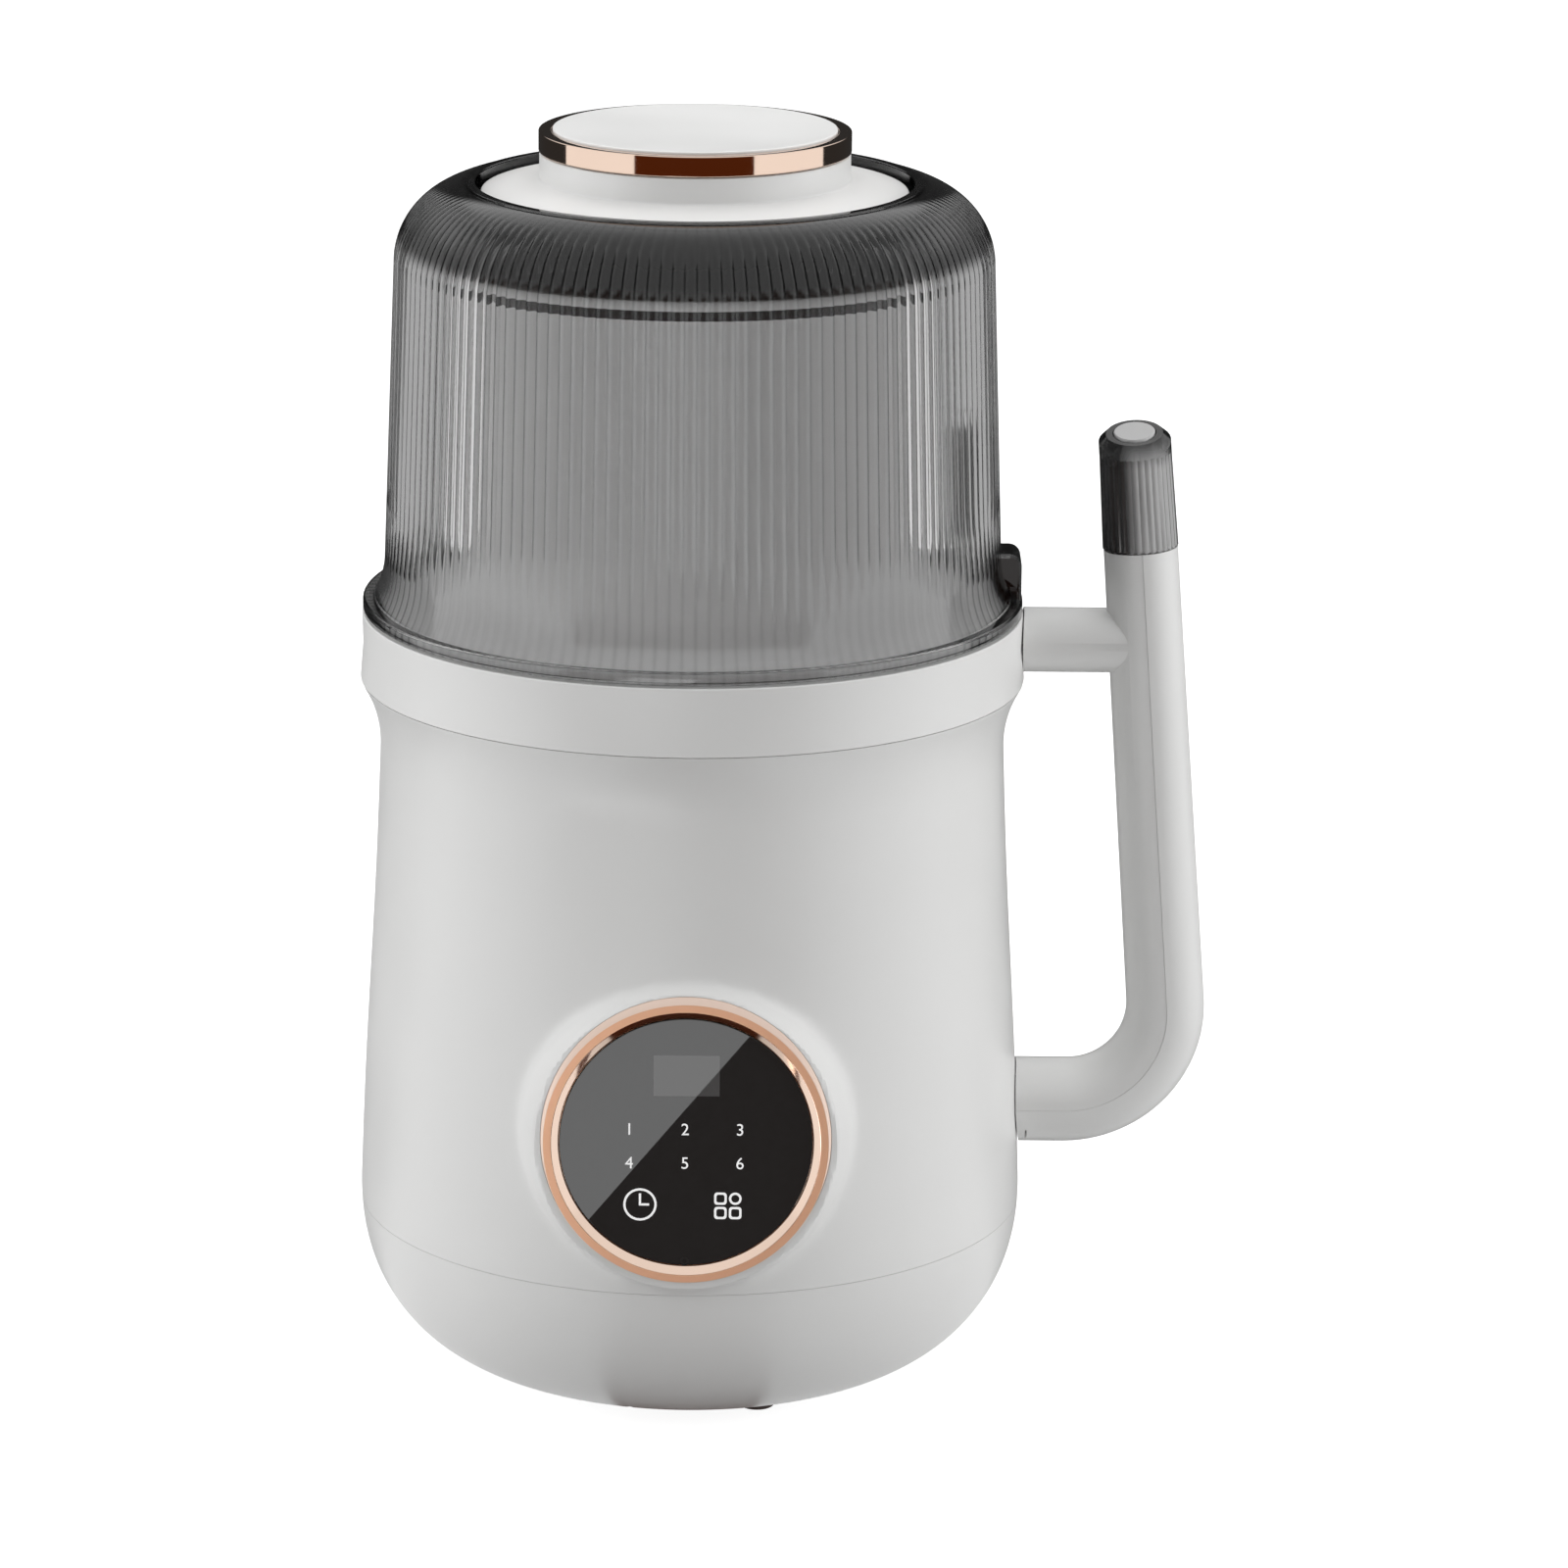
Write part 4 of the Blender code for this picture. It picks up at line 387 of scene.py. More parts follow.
def weighted(thing, name, weight_of):
    """Give a vertex group the weight that a function finds for each place."""
    group = thing.vertex_groups.new(name=name)
    for vertex in thing.data.vertices:
        group.add([vertex.index], weight_of(vertex.co), "REPLACE")


def pressed(thing, depth, weight_of):
    """Sink a surface by a depth times the weight of each place."""
    weighted(thing, "pressed", weight_of)
    modified(thing, "DISPLACE", strength=-depth, mid_level=0.0, direction="NORMAL", vertex_group="pressed")
    thing.vertex_groups.clear()


def painted(thing, material, chosen):
    """Give a further material to the faces that a test chooses."""
    thing.data.materials.append(material)
    for face in thing.data.polygons:
        if chosen(face):
            face.material_index = len(thing.data.materials) - 1


def disc(radius, top, low):
    """Outline of a solid disc, from its top to its underside."""
    return [(0.0, top), (radius, top), (radius, low), (0.0, low)]


def arc(centre_r, centre_z, radius, start, end, count):
    """Points on a round stretch, by angle above the horizontal."""
    turns = [start + (end - start) * i / count for i in range(count + 1)]
    return [(centre_r + radius * cos(t), centre_z + radius * sin(t)) for t in turns]


def rounded_box(width, height, corner, count=6):
    """Outline of a rectangle with round corners, centred on zero."""
    points = []
    for quarter in range(4):
        side_x = 1 if quarter in (0, 3) else -1
        side_y = 1 if quarter in (0, 1) else -1
        start = quarter * pi / 2
        centre = (side_x * (width / 2 - corner), side_y * (height / 2 - corner))
        points += arc(*centre, corner, start, start + pi / 2, count)
    return points


# %% [markdown]
# ## Sizes shared with the CAD
# These repeat the driving sizes of the part's source, so that each new piece lies
# on the node that it replaces.

# %% Sizes
GAP = 0.0003
WALL = 0.0026
FINE_SEAM = 0.0001
BELLY_R, BELLY_Z = 0.0849, 0.0472
UNDERSIDE_R, UNDERSIDE_Z, PAD_R = 0.040, 0.0008, 0.030
BELLY_POWER = 2.2
SEAM_Z = 0.0438
WAIST_R, TAPER_H, TAPER_SOFT_SHARE = 0.0792, 0.1167, 0.25
WAIST_Z = BELLY_Z + TAPER_H
FLARE_H, FLARE_ARC = 0.0171, 0.0323
SHELL_TOP_Z = WAIST_Z + FLARE_H
COLLAR_Z = SHELL_TOP_Z + GAP
COLLAR_TOP_Z = COLLAR_Z + 0.0170
COLLAR_TOP_R, COLLAR_WALL = 0.0836, 0.0033
HOOD_Z = COLLAR_TOP_Z + 0.0006
HOOD_TOP_Z = HOOD_Z + 0.1082
BIG_ROOM = 0.13


def body_radius(z):
    """Outer radius of the body: rounded belly, soft taper, and the flare under the collar."""
    if z <= BELLY_Z:
        share = min((BELLY_Z - z) / (BELLY_Z - UNDERSIDE_Z), 1.0)
        reach = (1.0 - share ** BELLY_POWER) ** (1.0 / BELLY_POWER)
        return UNDERSIDE_R + (BELLY_R - UNDERSIDE_R) * reach
    if z <= WAIST_Z:
        share = (z - BELLY_Z) / TAPER_H
        eased = share - TAPER_SOFT_SHARE * sin(2 * pi * share) / (2 * pi)
        return BELLY_R - (BELLY_R - WAIST_R) * eased
    rise = min(z - WAIST_Z, FLARE_H)
    return WAIST_R + FLARE_ARC - sqrt(FLARE_ARC ** 2 - rise ** 2)


def heights(low, high, count):
    """Evenly spaced values from low to high."""
    return [low + (high - low) * i / count for i in range(count + 1)]


PANEL_R = 0.0357
PANEL_TILT = radians(3.8)
PANEL_Y, PANEL_Z = -0.0880, 0.0845
PANEL_FRAME = at(0.0, PANEL_Y, PANEL_Z) @ Matrix.Rotation(pi / 2 - PANEL_TILT, 4, "X")
BAND_W, BAND_PROUD, BEVEL_W, BEVEL_H, GLASS_T = 0.0026, 0.0006, 0.0017, 0.0014, 0.0012
RING_FLOOR, SEAT_RISE = 0.0016, 0.0010
RING_BACK = BAND_PROUD - BEVEL_H - GLASS_T - GAP - GAP - RING_FLOOR
HANDLE_LEAN = radians(4.26)
HANDLE_X, HANDLE_REF_Z, HANDLE_TOP_Z = 0.1214, 0.1024, 0.2152
HANDLE_DIR = Vector((-sin(HANDLE_LEAN), 0.0, cos(HANDLE_LEAN)))
HANDLE_RISE = (HANDLE_TOP_Z - HANDLE_REF_Z) / HANDLE_DIR.z
HANDLE_TOP = Vector((HANDLE_X, 0.0, HANDLE_REF_Z)) + HANDLE_DIR * HANDLE_RISE
HANDLE_FRAME = Matrix.Translation(HANDLE_TOP) @ Matrix.Rotation(-HANDLE_LEAN, 4, "Y")

# %% [markdown]
# ## Finishes
# White ABS for the body, rose-gold plating and lacquer for the trims, smoked
# polycarbonate for the hood and the handle's cap, black acrylic for the panel, and
# plain steels, rubbers and board laminate for what is inside. The smoked plastic
# gets darker where it is seen at a slant, as a thick wall does. Painted shade
# darkens its crown and its grooves, and the cap carries a painted reflection of the hood.

# %% Finishes
white = moulded_plastic("white ABS, satin gloss", "#E6E6E5", "#E2E2E1", 0.36)
liner_grey = moulded_plastic("light grey ABS, satin", "#FAFAFA", "#F4F4F4", 0.55)
black_mould = moulded_plastic("black nylon, matte", "#232325", "#1B1B1D", 0.5, grain=900.0)
button_grey = moulded_plastic("grey ABS, fine matte", "#B7B7B7", "#B0B0B0", 0.5)
black_rubber = moulded_plastic("black silicone, matte", "#161616", "#101010", 0.6, grain=700.0)
brown_rubber = moulded_plastic("dark brown rubber, matte", "#3A2B27", "#2E221F", 0.7, grain=600.0)
board_green = moulded_plastic("green glass-epoxy laminate", "#1F5A3C", "#184A31", 0.45, grain=500.0)
rose_polished = plated_metal("rose-gold plating, polished", "#EED4C2", 0.06)
rose_satin = moulded_plastic("rose-gold lacquer, satin", "#F9C29E", "#F4BD99", 0.42, metal=0.4)
# Painted reflection: a pale colour for the ring's outer side, standing in for the white room it mirrors.
rose_painted_reflection = moulded_plastic("rose-gold lacquer, painted pale reflection", "#FBE3D4", "#F8DECD", 0.4, metal=0.2)
steel_brushed = plated_metal("stainless steel, fine brushed", "#C9C9C8", 0.24, 0.25, (1.0, 1.0, 14.0))
steel_dark = plated_metal("plain steel, dark oxide", "#8A8A8C", 0.4, 0.2)


PLASTIC_IOR, FACING_BLEND, GROOVE_POWER, HOOD_REFLECTION_SHARE = 1.49, 0.35, 4.0, 0.9
SLANT_RAMP, EDGE_RAMP = (0.28, 0.46, 0.12, 0.8), (0.42, 0.70, 0.0, 0.95)
SMOKE_MOTTLE, SMOKE_GLOSS, WINDOW_MOTTLE, WINDOW_GLOSS = 40.0, (0.04, 0.08), 300.0, (0.0, 0.01)


def smoked_plastic(name, low_z, high_z, lines, pale, deep, edge, clear, hood_reflection_w=0.0):
    """Smoked plastic: darker at a slant, with painted shade towards its crown and in its grooves, and a
    painted reflection of the hood on the side towards it.
    """
    made, tree, shader = new_material(name)
    pale, deep, edge = linear(pale), linear(deep), linear(edge)
    place = axes_of(tree, own_place(tree))
    turn = maths(tree, "ARCTAN2", place["Y"], place["X"])
    wave = maths(tree, "COSINE", maths(tree, "MULTIPLY", turn, lines))
    groove = maths(tree, "POWER", maths(tree, "MULTIPLY_ADD", wave, 0.5, 0.5), GROOVE_POWER)
    facing = add_node(tree, "LayerWeight", {"Blend": FACING_BLEND}).outputs["Facing"]
    slant = ramp_between(tree, facing, *SLANT_RAMP)
    # Painted shade: the colour deepens towards the crown, standing in for the dark room under it.
    colour = mixed_colour(tree, ramp_between(tree, place["Z"], low_z, high_z), pale, deep)
    # Painted shade: the grooves are darkened, more so where the wall is seen at a slant.
    colour = mixed_colour(tree, maths(tree, "MULTIPLY", groove, slant), colour, edge)
    colour = mixed_colour(tree, ramp_between(tree, facing, *EDGE_RAMP), colour, edge)
    # Painted reflection: the side towards the hood is darkened, as the black hood mirrored in it.
    if hood_reflection_w > 0.0:
        rise = maths(tree, "SUBTRACT", place["Z"], HANDLE_REF_Z)
        lean = maths(tree, "MULTIPLY", rise, tan(HANDLE_LEAN))
        across = maths(tree, "ADD", maths(tree, "SUBTRACT", place["X"], HANDLE_X), lean)
        shade = ramp_between(tree, across, -hood_reflection_w, 0.0, HOOD_REFLECTION_SHARE, 0.0)
        colour = mixed_colour(tree, shade, colour, edge)
    gloss = varied(tree, noise(tree, SMOKE_MOTTLE), *SMOKE_GLOSS)
    feed(tree, shader, Base_Color=colour, Roughness=gloss, IOR=PLASTIC_IOR, Transmission_Weight=clear)
    return made


# The hood's colour deepens above its rim as painted shade, and its grooves carry painted dark lines.
hood_smoke = smoked_plastic("smoked polycarbonate, polished", low_z=0.2895, high_z=0.2945, lines=150.0,
                            pale="#EDEDED", deep="#5C5C5C", edge="#2C2C2C", clear=1.0)
lug_smoke = smoked_plastic("smoked polycarbonate, thick", low_z=0.0, high_z=0.1, lines=0.0,
                           pale="#6A6A6A", deep="#5A5A5A", edge="#2A2A2A", clear=1.0)
# The cap gets painted shade towards its crown and a painted reflection of the hood on its side towards it.
cap_smoke = smoked_plastic("smoked polycarbonate, ribbed cap", low_z=0.236, high_z=0.244, lines=32.0,
                           pale="#E2E2E2", deep="#303030", edge="#161616", clear=0.55, hood_reflection_w=0.0045)
DISPLAY_X, DISPLAY_Z, DISPLAY_HALF_W, DISPLAY_HALF_H = 0.0001, 0.1012, 0.0081, 0.0051


def panel_black():
    """Black acrylic window; the display shows as a slightly paler rectangle behind it."""
    made, tree, shader = new_material("black acrylic, polished")
    place = axes_of(tree, own_place(tree))
    across = maths(tree, "ABSOLUTE", maths(tree, "SUBTRACT", place["X"], DISPLAY_X))
    upward = maths(tree, "ABSOLUTE", maths(tree, "SUBTRACT", place["Z"], DISPLAY_Z))
    in_width = maths(tree, "LESS_THAN", across, DISPLAY_HALF_W)
    inside = maths(tree, "MULTIPLY", in_width, maths(tree, "LESS_THAN", upward, DISPLAY_HALF_H))
    cloud = noise(tree, WINDOW_MOTTLE)
    black = mixed_colour(tree, cloud, linear("#292A2A"), linear("#2D2E2E"))
    colour = mixed_colour(tree, inside, black, linear("#565656"))
    feed(tree, shader, Base_Color=colour, Roughness=varied(tree, cloud, *WINDOW_GLOSS))
    return made


acrylic = panel_black()
print_white = moulded_plastic("white screen print, with painted glow", "#F8F8F8", "#F2F2F2", 0.5, grain=2400.0)
print_black = moulded_plastic("black screen print", "#070707", "#040404", 0.4, grain=2400.0)
# Painted light: the white print gets a faint glow of its own, though it is no lamp.
glow = print_white.node_tree.nodes["Principled BSDF"]
feed(print_white.node_tree, glow, Emission_Color=linear("#FFFFFF"), Emission_Strength=0.3)

# %% [markdown]
# ## Body shell
# The real shell is one moulding: a turned body from which a round boss grows to
# carry the panel. The two forms are joined, remeshed to an even grid, pulled back
# onto the exact forms, and only the crease between them is smoothed into a fillet.
# The hollow, the panel's seat and the inlet opening are cut last, so they stay crisp.

# %% Body shell
REMESH = 0.0013
CREASE_REACH = 0.0042
BOSS_LIP_R = PANEL_R + GAP + 0.0016
BOSS_FLARE, BOSS_DEPTH, BOSS_ROUND = 0.0050, 0.0200, 0.0012
PAST, FRONT_PAST, BORE_DEPTH = 0.003, 0.01, 0.024
SHELL_STEPS, SHELL_ROWS, INSIDE_ROWS, LIP_POINTS = 384, 60, 16, 8
CREASE_PULL, SMOOTH_SHARE, SMOOTH_TURNS = 1.6, 0.5, 14
MOUTH_LIP_W, MOUTH_LIP_T, BOARD_INSET = 0.0062, 0.0030, 0.0033


def boss_gap(spot):
    """Distance of a point from the boss's flaring side."""
    local = PANEL_FRAME.inverted() @ spot
    slope = BOSS_FLARE / (BOSS_DEPTH - BOSS_ROUND)
    radius = BOSS_LIP_R + slope * max(-local.z - BOSS_ROUND, 0.0)
    return hypot(local.x, local.y) - radius


def crease_weight(spot):
    """How much a point is smoothed: most in the crease between the body and the boss."""
    body_gap = abs(hypot(spot.x, spot.y) - body_radius(spot.z))
    away = max(body_gap, abs(boss_gap(spot)))
    near = away < CREASE_REACH and spot.y < 0.0
    return min(1.0, CREASE_PULL * (1.0 - away / CREASE_REACH)) if near else 0.0


def body_side(low, high, count):
    """The body's outline between two heights, from the top down."""
    return [(body_radius(z), z) for z in reversed(heights(low, high, count))]


top_r = body_radius(SHELL_TOP_Z)
outline = [(0.0, SHELL_TOP_Z + PAST), (top_r, SHELL_TOP_Z + PAST)]
outline += body_side(SEAM_Z - PAST, SHELL_TOP_Z, SHELL_ROWS) + [(0.0, SEAM_Z - PAST)]
shell = spun("body_shell_skin", outline, SHELL_STEPS)
lip = arc(BOSS_LIP_R - BOSS_ROUND, -BOSS_ROUND, BOSS_ROUND, pi / 2, 0.0, LIP_POINTS)
boss = [(0.0, 0.0)] + lip + [(BOSS_LIP_R + BOSS_FLARE, -BOSS_DEPTH), (0.0, -BOSS_DEPTH)]
combined(shell, spun("boss", boss, BIG_STEPS, PANEL_FRAME), "UNION")
exact = shell.copy()
exact.data = shell.data.copy()
bpy.context.collection.objects.link(exact)
modified(shell, "REMESH", mode="VOXEL", voxel_size=REMESH)
modified(shell, "SHRINKWRAP", target=exact, wrap_method="NEAREST_SURFACEPOINT")
bpy.data.objects.remove(exact, do_unlink=True)
weighted(shell, "crease", crease_weight)
modified(shell, "SMOOTH", factor=SMOOTH_SHARE, iterations=SMOOTH_TURNS, vertex_group="crease")
lip_r, lip_z = top_r - WALL - MOUTH_LIP_W, SHELL_TOP_Z - MOUTH_LIP_T
keep = [(BIG_ROOM, SEAM_Z), (BIG_ROOM, SHELL_TOP_Z), (lip_r, SHELL_TOP_Z), (lip_r, lip_z)]
keep += [(r - WALL, z) for r, z in body_side(SEAM_Z, lip_z, INSIDE_ROWS)]
combined(shell, spun("keep", keep, closed=True), "INTERSECT")
seat_frame = PANEL_FRAME @ at(0.0, SEAT_RISE, 0.0)
cut(shell, spun("seat", disc(PANEL_R + FINE_SEAM, FRONT_PAST, RING_BACK - GAP), BIG_STEPS, seat_frame))
cut(shell, spun("bore", disc(PANEL_R - BOARD_INSET, FRONT_PAST, -BORE_DEPTH), BIG_STEPS, PANEL_FRAME))
INLET_Z, INLET_W, INLET_H, INLET_CORNER, INLET_REACH = 0.0840, 0.0300, 0.0220, 0.0040, 0.018
back = at(0.0, BELLY_R, INLET_Z) @ UPRIGHT
opening = rounded_box(INLET_W + GAP + GAP, INLET_H + GAP + GAP, INLET_CORNER)
cut(shell, slab("opening", opening, -INLET_REACH, INLET_REACH, back))
shell.vertex_groups.clear()
finished(shell, "body", white, "white_shell", "body_shell")

# %% [markdown]
# ## Base pan and feet
# The pan closes the body below the seam. Its underside has recesses for the four
# screws, pockets for the feet and radial slots that let the motor's air out.

# %% Base pan and feet
FOOT_R, FOOT_DROP, FOOT_RING_R, FOOT_TURN = 0.0045, 0.0020, 0.0420, radians(25.0)
FOOT_TOP, POCKET_TOP, FOOT_ROUND = 0.0016, 0.0019, 0.0006
TONGUE_W, TONGUE_H, PAD_SLOPE, PAD_ROUND = 0.0012, 0.0022, 0.002, 0.0004
PAN_ROWS, PAN_INSIDE_ROWS, BELOW = 40, 16, 0.004
SCREW_R, SCREW_TOP, HEAD_R, HEAD_TOP = 0.0019, 0.008, 0.0035, 0.0024
VENT_W, VENT_L, VENT_ROUND, VENT_TOP = 0.0022, 0.0120, 0.0010, 0.016
VENT_RING_R, VENT_TURN = 0.0560, radians(6.0)


def spot_at(radius, angle):
    """A place on a circle round the axis, with angle zero at the front."""
    spot = (radius * sin(angle), -radius * cos(angle), 0.0)
    return Matrix.Translation(spot) @ Matrix.Rotation(angle, 4, "Z")


def pan_side(inset, top_z, count):
    """The belly's outline below the seam, closer together where it curves most."""
    wide, tall = BELLY_R - UNDERSIDE_R - inset, BELLY_Z - UNDERSIDE_Z - inset
    start = asin(((BELLY_Z - top_z) / tall) ** (BELLY_POWER / 2))
    points = []
    for i in range(count + 1):
        turn = start + (pi / 2 - start) * i / count
        reach = max(cos(turn), 0.0) ** (2 / BELLY_POWER)
        points.append((UNDERSIDE_R + wide * reach, BELLY_Z - tall * sin(turn) ** (2 / BELLY_POWER)))
    return points


seam = SEAM_Z - FINE_SEAM
tongue_r = body_radius(seam) - WALL - GAP
inner = [p for p in reversed(pan_side(WALL, SEAM_Z, PAN_INSIDE_ROWS)) if p[1] < seam - WALL]
tongue_in, tongue_top = tongue_r - TONGUE_W, seam + TONGUE_H
outline = [(0.0, UNDERSIDE_Z + WALL)] + inner + [(tongue_in, seam), (tongue_in, tongue_top)]
outline += [(tongue_r, tongue_top), (tongue_r, seam)] + pan_side(0.0, seam, PAN_ROWS)
pad = [(PAD_R + PAD_SLOPE, UNDERSIDE_Z), (PAD_R, UNDERSIDE_Z), (PAD_R, 0.0), (PAD_R - PAD_SLOPE, 0.0)]
pan = spun("base_pan_skin", outline + soften(pad, PAD_ROUND) + [(0.0, 0.0)])
for i in range(4):
    foot_turn = FOOT_TURN + i * pi / 2
    screw_turn = foot_turn + pi / 4
    pocket = disc(FOOT_R + GAP, POCKET_TOP, -BELOW)
    cut(pan, spun("pocket", pocket, SMALL_STEPS, spot_at(FOOT_RING_R, foot_turn)))
    hole = disc(SCREW_R, SCREW_TOP, HEAD_TOP)[:3] + [(HEAD_R, HEAD_TOP), (HEAD_R, -BELOW), (0.0, -BELOW)]
    cut(pan, spun("hole", hole, SMALL_STEPS, spot_at(FOOT_RING_R, screw_turn)))
    for side in (-1, 1):
        vent_spot = spot_at(VENT_RING_R, screw_turn + side * VENT_TURN)
        cut(pan, slab("vent", rounded_box(VENT_W, VENT_L, VENT_ROUND, 5), -BELOW, VENT_TOP, vent_spot))
finished(pan, "body", white, "white_shell", "base_pan")
foot_side = soften(disc(FOOT_R, FOOT_TOP, -FOOT_DROP), FOOT_ROUND)
for i in range(4):
    foot_spot = spot_at(FOOT_RING_R, FOOT_TURN + i * pi / 2)
    foot = spun(f"foot_{i + 1}_skin", foot_side, SMALL_STEPS, foot_spot)
    finished(foot, "body", brown_rubber, "foot_brown", f"foot_{i + 1}")

# %% [markdown]
# ## Collar ring and jug
# The white collar carries the hood. The jug is deep drawn in stainless steel, with
# a flat rim that rests on the collar's ledge, and shows once the hood is off.

# %% Collar ring and jug
LEDGE_DROP, LEDGE_T, LEDGE_R = 0.0043, 0.0030, 0.0665
COLLAR_DRAFT, DRAFT_Z, CHAMFER = 0.0002, COLLAR_Z + 0.0085, 0.0002
RELIEF_W, FLOOR_W, FLOOR_T, COLLAR_ROUND = 0.0020, 0.0100, 0.0025, 0.0005
in_r = COLLAR_TOP_R - COLLAR_WALL
ledge_z = COLLAR_TOP_Z - LEDGE_DROP
foot_z = SHELL_TOP_Z + FINE_SEAM
floor_r, floor_top = top_r - FLOOR_W, COLLAR_Z + FLOOR_T
outline = [(in_r, COLLAR_TOP_Z), (COLLAR_TOP_R, COLLAR_TOP_Z), (COLLAR_TOP_R - COLLAR_DRAFT, DRAFT_Z)]
outline += [(top_r, foot_z + CHAMFER), (top_r - CHAMFER, foot_z), (top_r - RELIEF_W, foot_z)]
outline += [(top_r - RELIEF_W - 2 * CHAMFER, COLLAR_Z)]
outline += [(floor_r, COLLAR_Z), (floor_r, floor_top), (in_r, floor_top)]
outline += [(in_r, ledge_z - LEDGE_T), (LEDGE_R, ledge_z - LEDGE_T), (LEDGE_R, ledge_z), (in_r, ledge_z)]
turned("collar_ring", outline, "body", white, "white_shell", COLLAR_ROUND, closed=True)

CUP_WALL, CUP_TOP_R, CUP_FLOOR_R, CUP_CORNER, CUP_H = 0.0012, 0.0640, 0.0612, 0.0160, 0.0990
GASKET_T, RIM_W, SEAL_BORE_R = 0.0012, 0.0154, 0.0090
RIM_BEND, RIM_BEND_IN, CORNER_POINTS = 0.0022, 0.0030, 14
rim_z = ledge_z + GASKET_T + GAP + GAP
rim_top = rim_z + CUP_WALL
floor_z = rim_top - CUP_H
rim_r = CUP_TOP_R + RIM_W


def cup_side(inset, low):
    """The jug's round corner and floor, from the wall inwards."""
    middle_r = CUP_FLOOR_R - CUP_CORNER
    corner = arc(middle_r, floor_z + CUP_CORNER, CUP_CORNER - inset, 0.0, -pi / 2, CORNER_POINTS)
    return corner[:-1] + [(middle_r, low), (SEAL_BORE_R, low)]


side_out, side_in = cup_side(0.0, floor_z), cup_side(CUP_WALL, floor_z + CUP_WALL)
wall_out = soften([(rim_r, rim_z), (CUP_TOP_R, rim_z), side_out[0]], RIM_BEND)
wall_in = soften([(rim_r, rim_top), (CUP_TOP_R - CUP_WALL, rim_top), side_in[0]], RIM_BEND_IN)
outline = wall_out[:-1] + side_out + side_in[::-1] + wall_in[:-1][::-1]
turned("inner_cup", outline, "body", steel_brushed, "stainless", closed=True)

# %% [markdown]
# ## Hood
# The hood is a bell of smoked plastic, 150 narrow grooves round its wall. It is
# spun with six columns to each groove, and a Displace modifier sinks the grooves
# by a vertex group whose weights fade towards the crown and the flange.

# %% Hood
FLUTES, COLUMNS = 150, 6
FLUTE_DEPTH = 0.00075
HOOD_WALL = 0.0020
FLANGE_R, FLANGE_Z = COLLAR_TOP_R - 0.0002, HOOD_Z + 0.0030
FOOT_OF_WALL_R, FOOT_OF_WALL_Z = 0.0778, HOOD_Z + 0.0140
SHOULDER_R, SHOULDER_ARC = 0.07515, 0.0199
SHOULDER_Z = HOOD_TOP_Z - SHOULDER_ARC
LIP_IN_R, LIP_R, LIP_TOP = 0.0547, 0.0573, HOOD_TOP_Z + 0.0004
LID_LEDGE_Z, LID_LEDGE_R = HOOD_TOP_Z - 0.0088, 0.0515
REBATE_R, REBATE_Z = FLANGE_R - 0.0044, HOOD_Z + 0.0021
FADE_H, FADE_DROP, FADE_RATE = 0.0190, 0.002, 1.8
FLUTE_END, LIP_TURN, CEILING_TURN = radians(76.0), radians(84.0), radians(83.0)
FLARE_ROWS, WALL_ROWS, SHOULDER_ROWS, FLARE_IN = 8, 16, 24, 0.0026
FLANGE_ROUND, LIP_ROUND, LID_LEDGE_T, LIP_H, LIP_CLEAR = 0.0008, 0.0004, 0.0020, 0.003, 0.001


def hood_flare():
    """Concave sweep from the wall out onto the flange."""
    drop, out = FOOT_OF_WALL_Z - FLANGE_Z, FLANGE_R - FLARE_IN - FOOT_OF_WALL_R
    radius = (drop ** 2 + out ** 2) / (2 * out)
    falls = [drop * i / FLARE_ROWS for i in range(1, FLARE_ROWS + 1)]
    return [(FOOT_OF_WALL_R + radius - sqrt(radius ** 2 - f ** 2), FOOT_OF_WALL_Z - f) for f in falls]


def hood_wall(inset, count):
    """The straight side from the shoulder down to the flare."""
    return [(SHOULDER_R + (FOOT_OF_WALL_R - SHOULDER_R) * i / count - inset,
             SHOULDER_Z + (FOOT_OF_WALL_Z - SHOULDER_Z) * i / count) for i in range(1, count + 1)]


def flute_weight(spot):
    """How deep a groove is at a point of the hood; its inside and its lip have none."""
    radius = hypot(spot.x, spot.y)
    if spot.z <= SHOULDER_Z:
        down = (SHOULDER_Z - spot.z) / (SHOULDER_Z - FOOT_OF_WALL_Z)
        outside = radius > SHOULDER_R + (FOOT_OF_WALL_R - SHOULDER_R) * down - HOOD_WALL / 2
        fade = unit((spot.z - FOOT_OF_WALL_Z + FADE_DROP) / FADE_H)
    else:
        round_r = hypot(radius - arc_r, spot.z - SHOULDER_Z)
        outside = radius > LIP_R + LIP_CLEAR and round_r > SHOULDER_ARC - HOOD_WALL / 2
        fade = unit((FLUTE_END - atan2(spot.z - SHOULDER_Z, radius - arc_r)) / FLUTE_END * FADE_RATE)
    return ribbed(spot, FLUTES) * fade * fade * (3 - 2 * fade) if outside else 0.0


arc_r = SHOULDER_R - SHOULDER_ARC
flare = hood_flare()
shoulder = arc(arc_r, SHOULDER_Z, SHOULDER_ARC, LIP_TURN, 0.0, SHOULDER_ROWS)
edge = soften([flare[-1], (FLANGE_R, FLANGE_Z), (FLANGE_R, HOOD_Z), (REBATE_R, HOOD_Z)], FLANGE_ROUND)[1:]
lip = [(LIP_IN_R, LID_LEDGE_Z + LIP_H), (LIP_IN_R, LIP_TOP), (LIP_R, LIP_TOP), shoulder[0]]
outside = soften(lip, LIP_ROUND) + shoulder[1:] + hood_wall(0.0, WALL_ROWS) + flare + edge
inside = [(REBATE_R, REBATE_Z)] + [(r - HOOD_WALL, z) for r, z in flare][::-1] + hood_wall(HOOD_WALL, 3)[::-1]
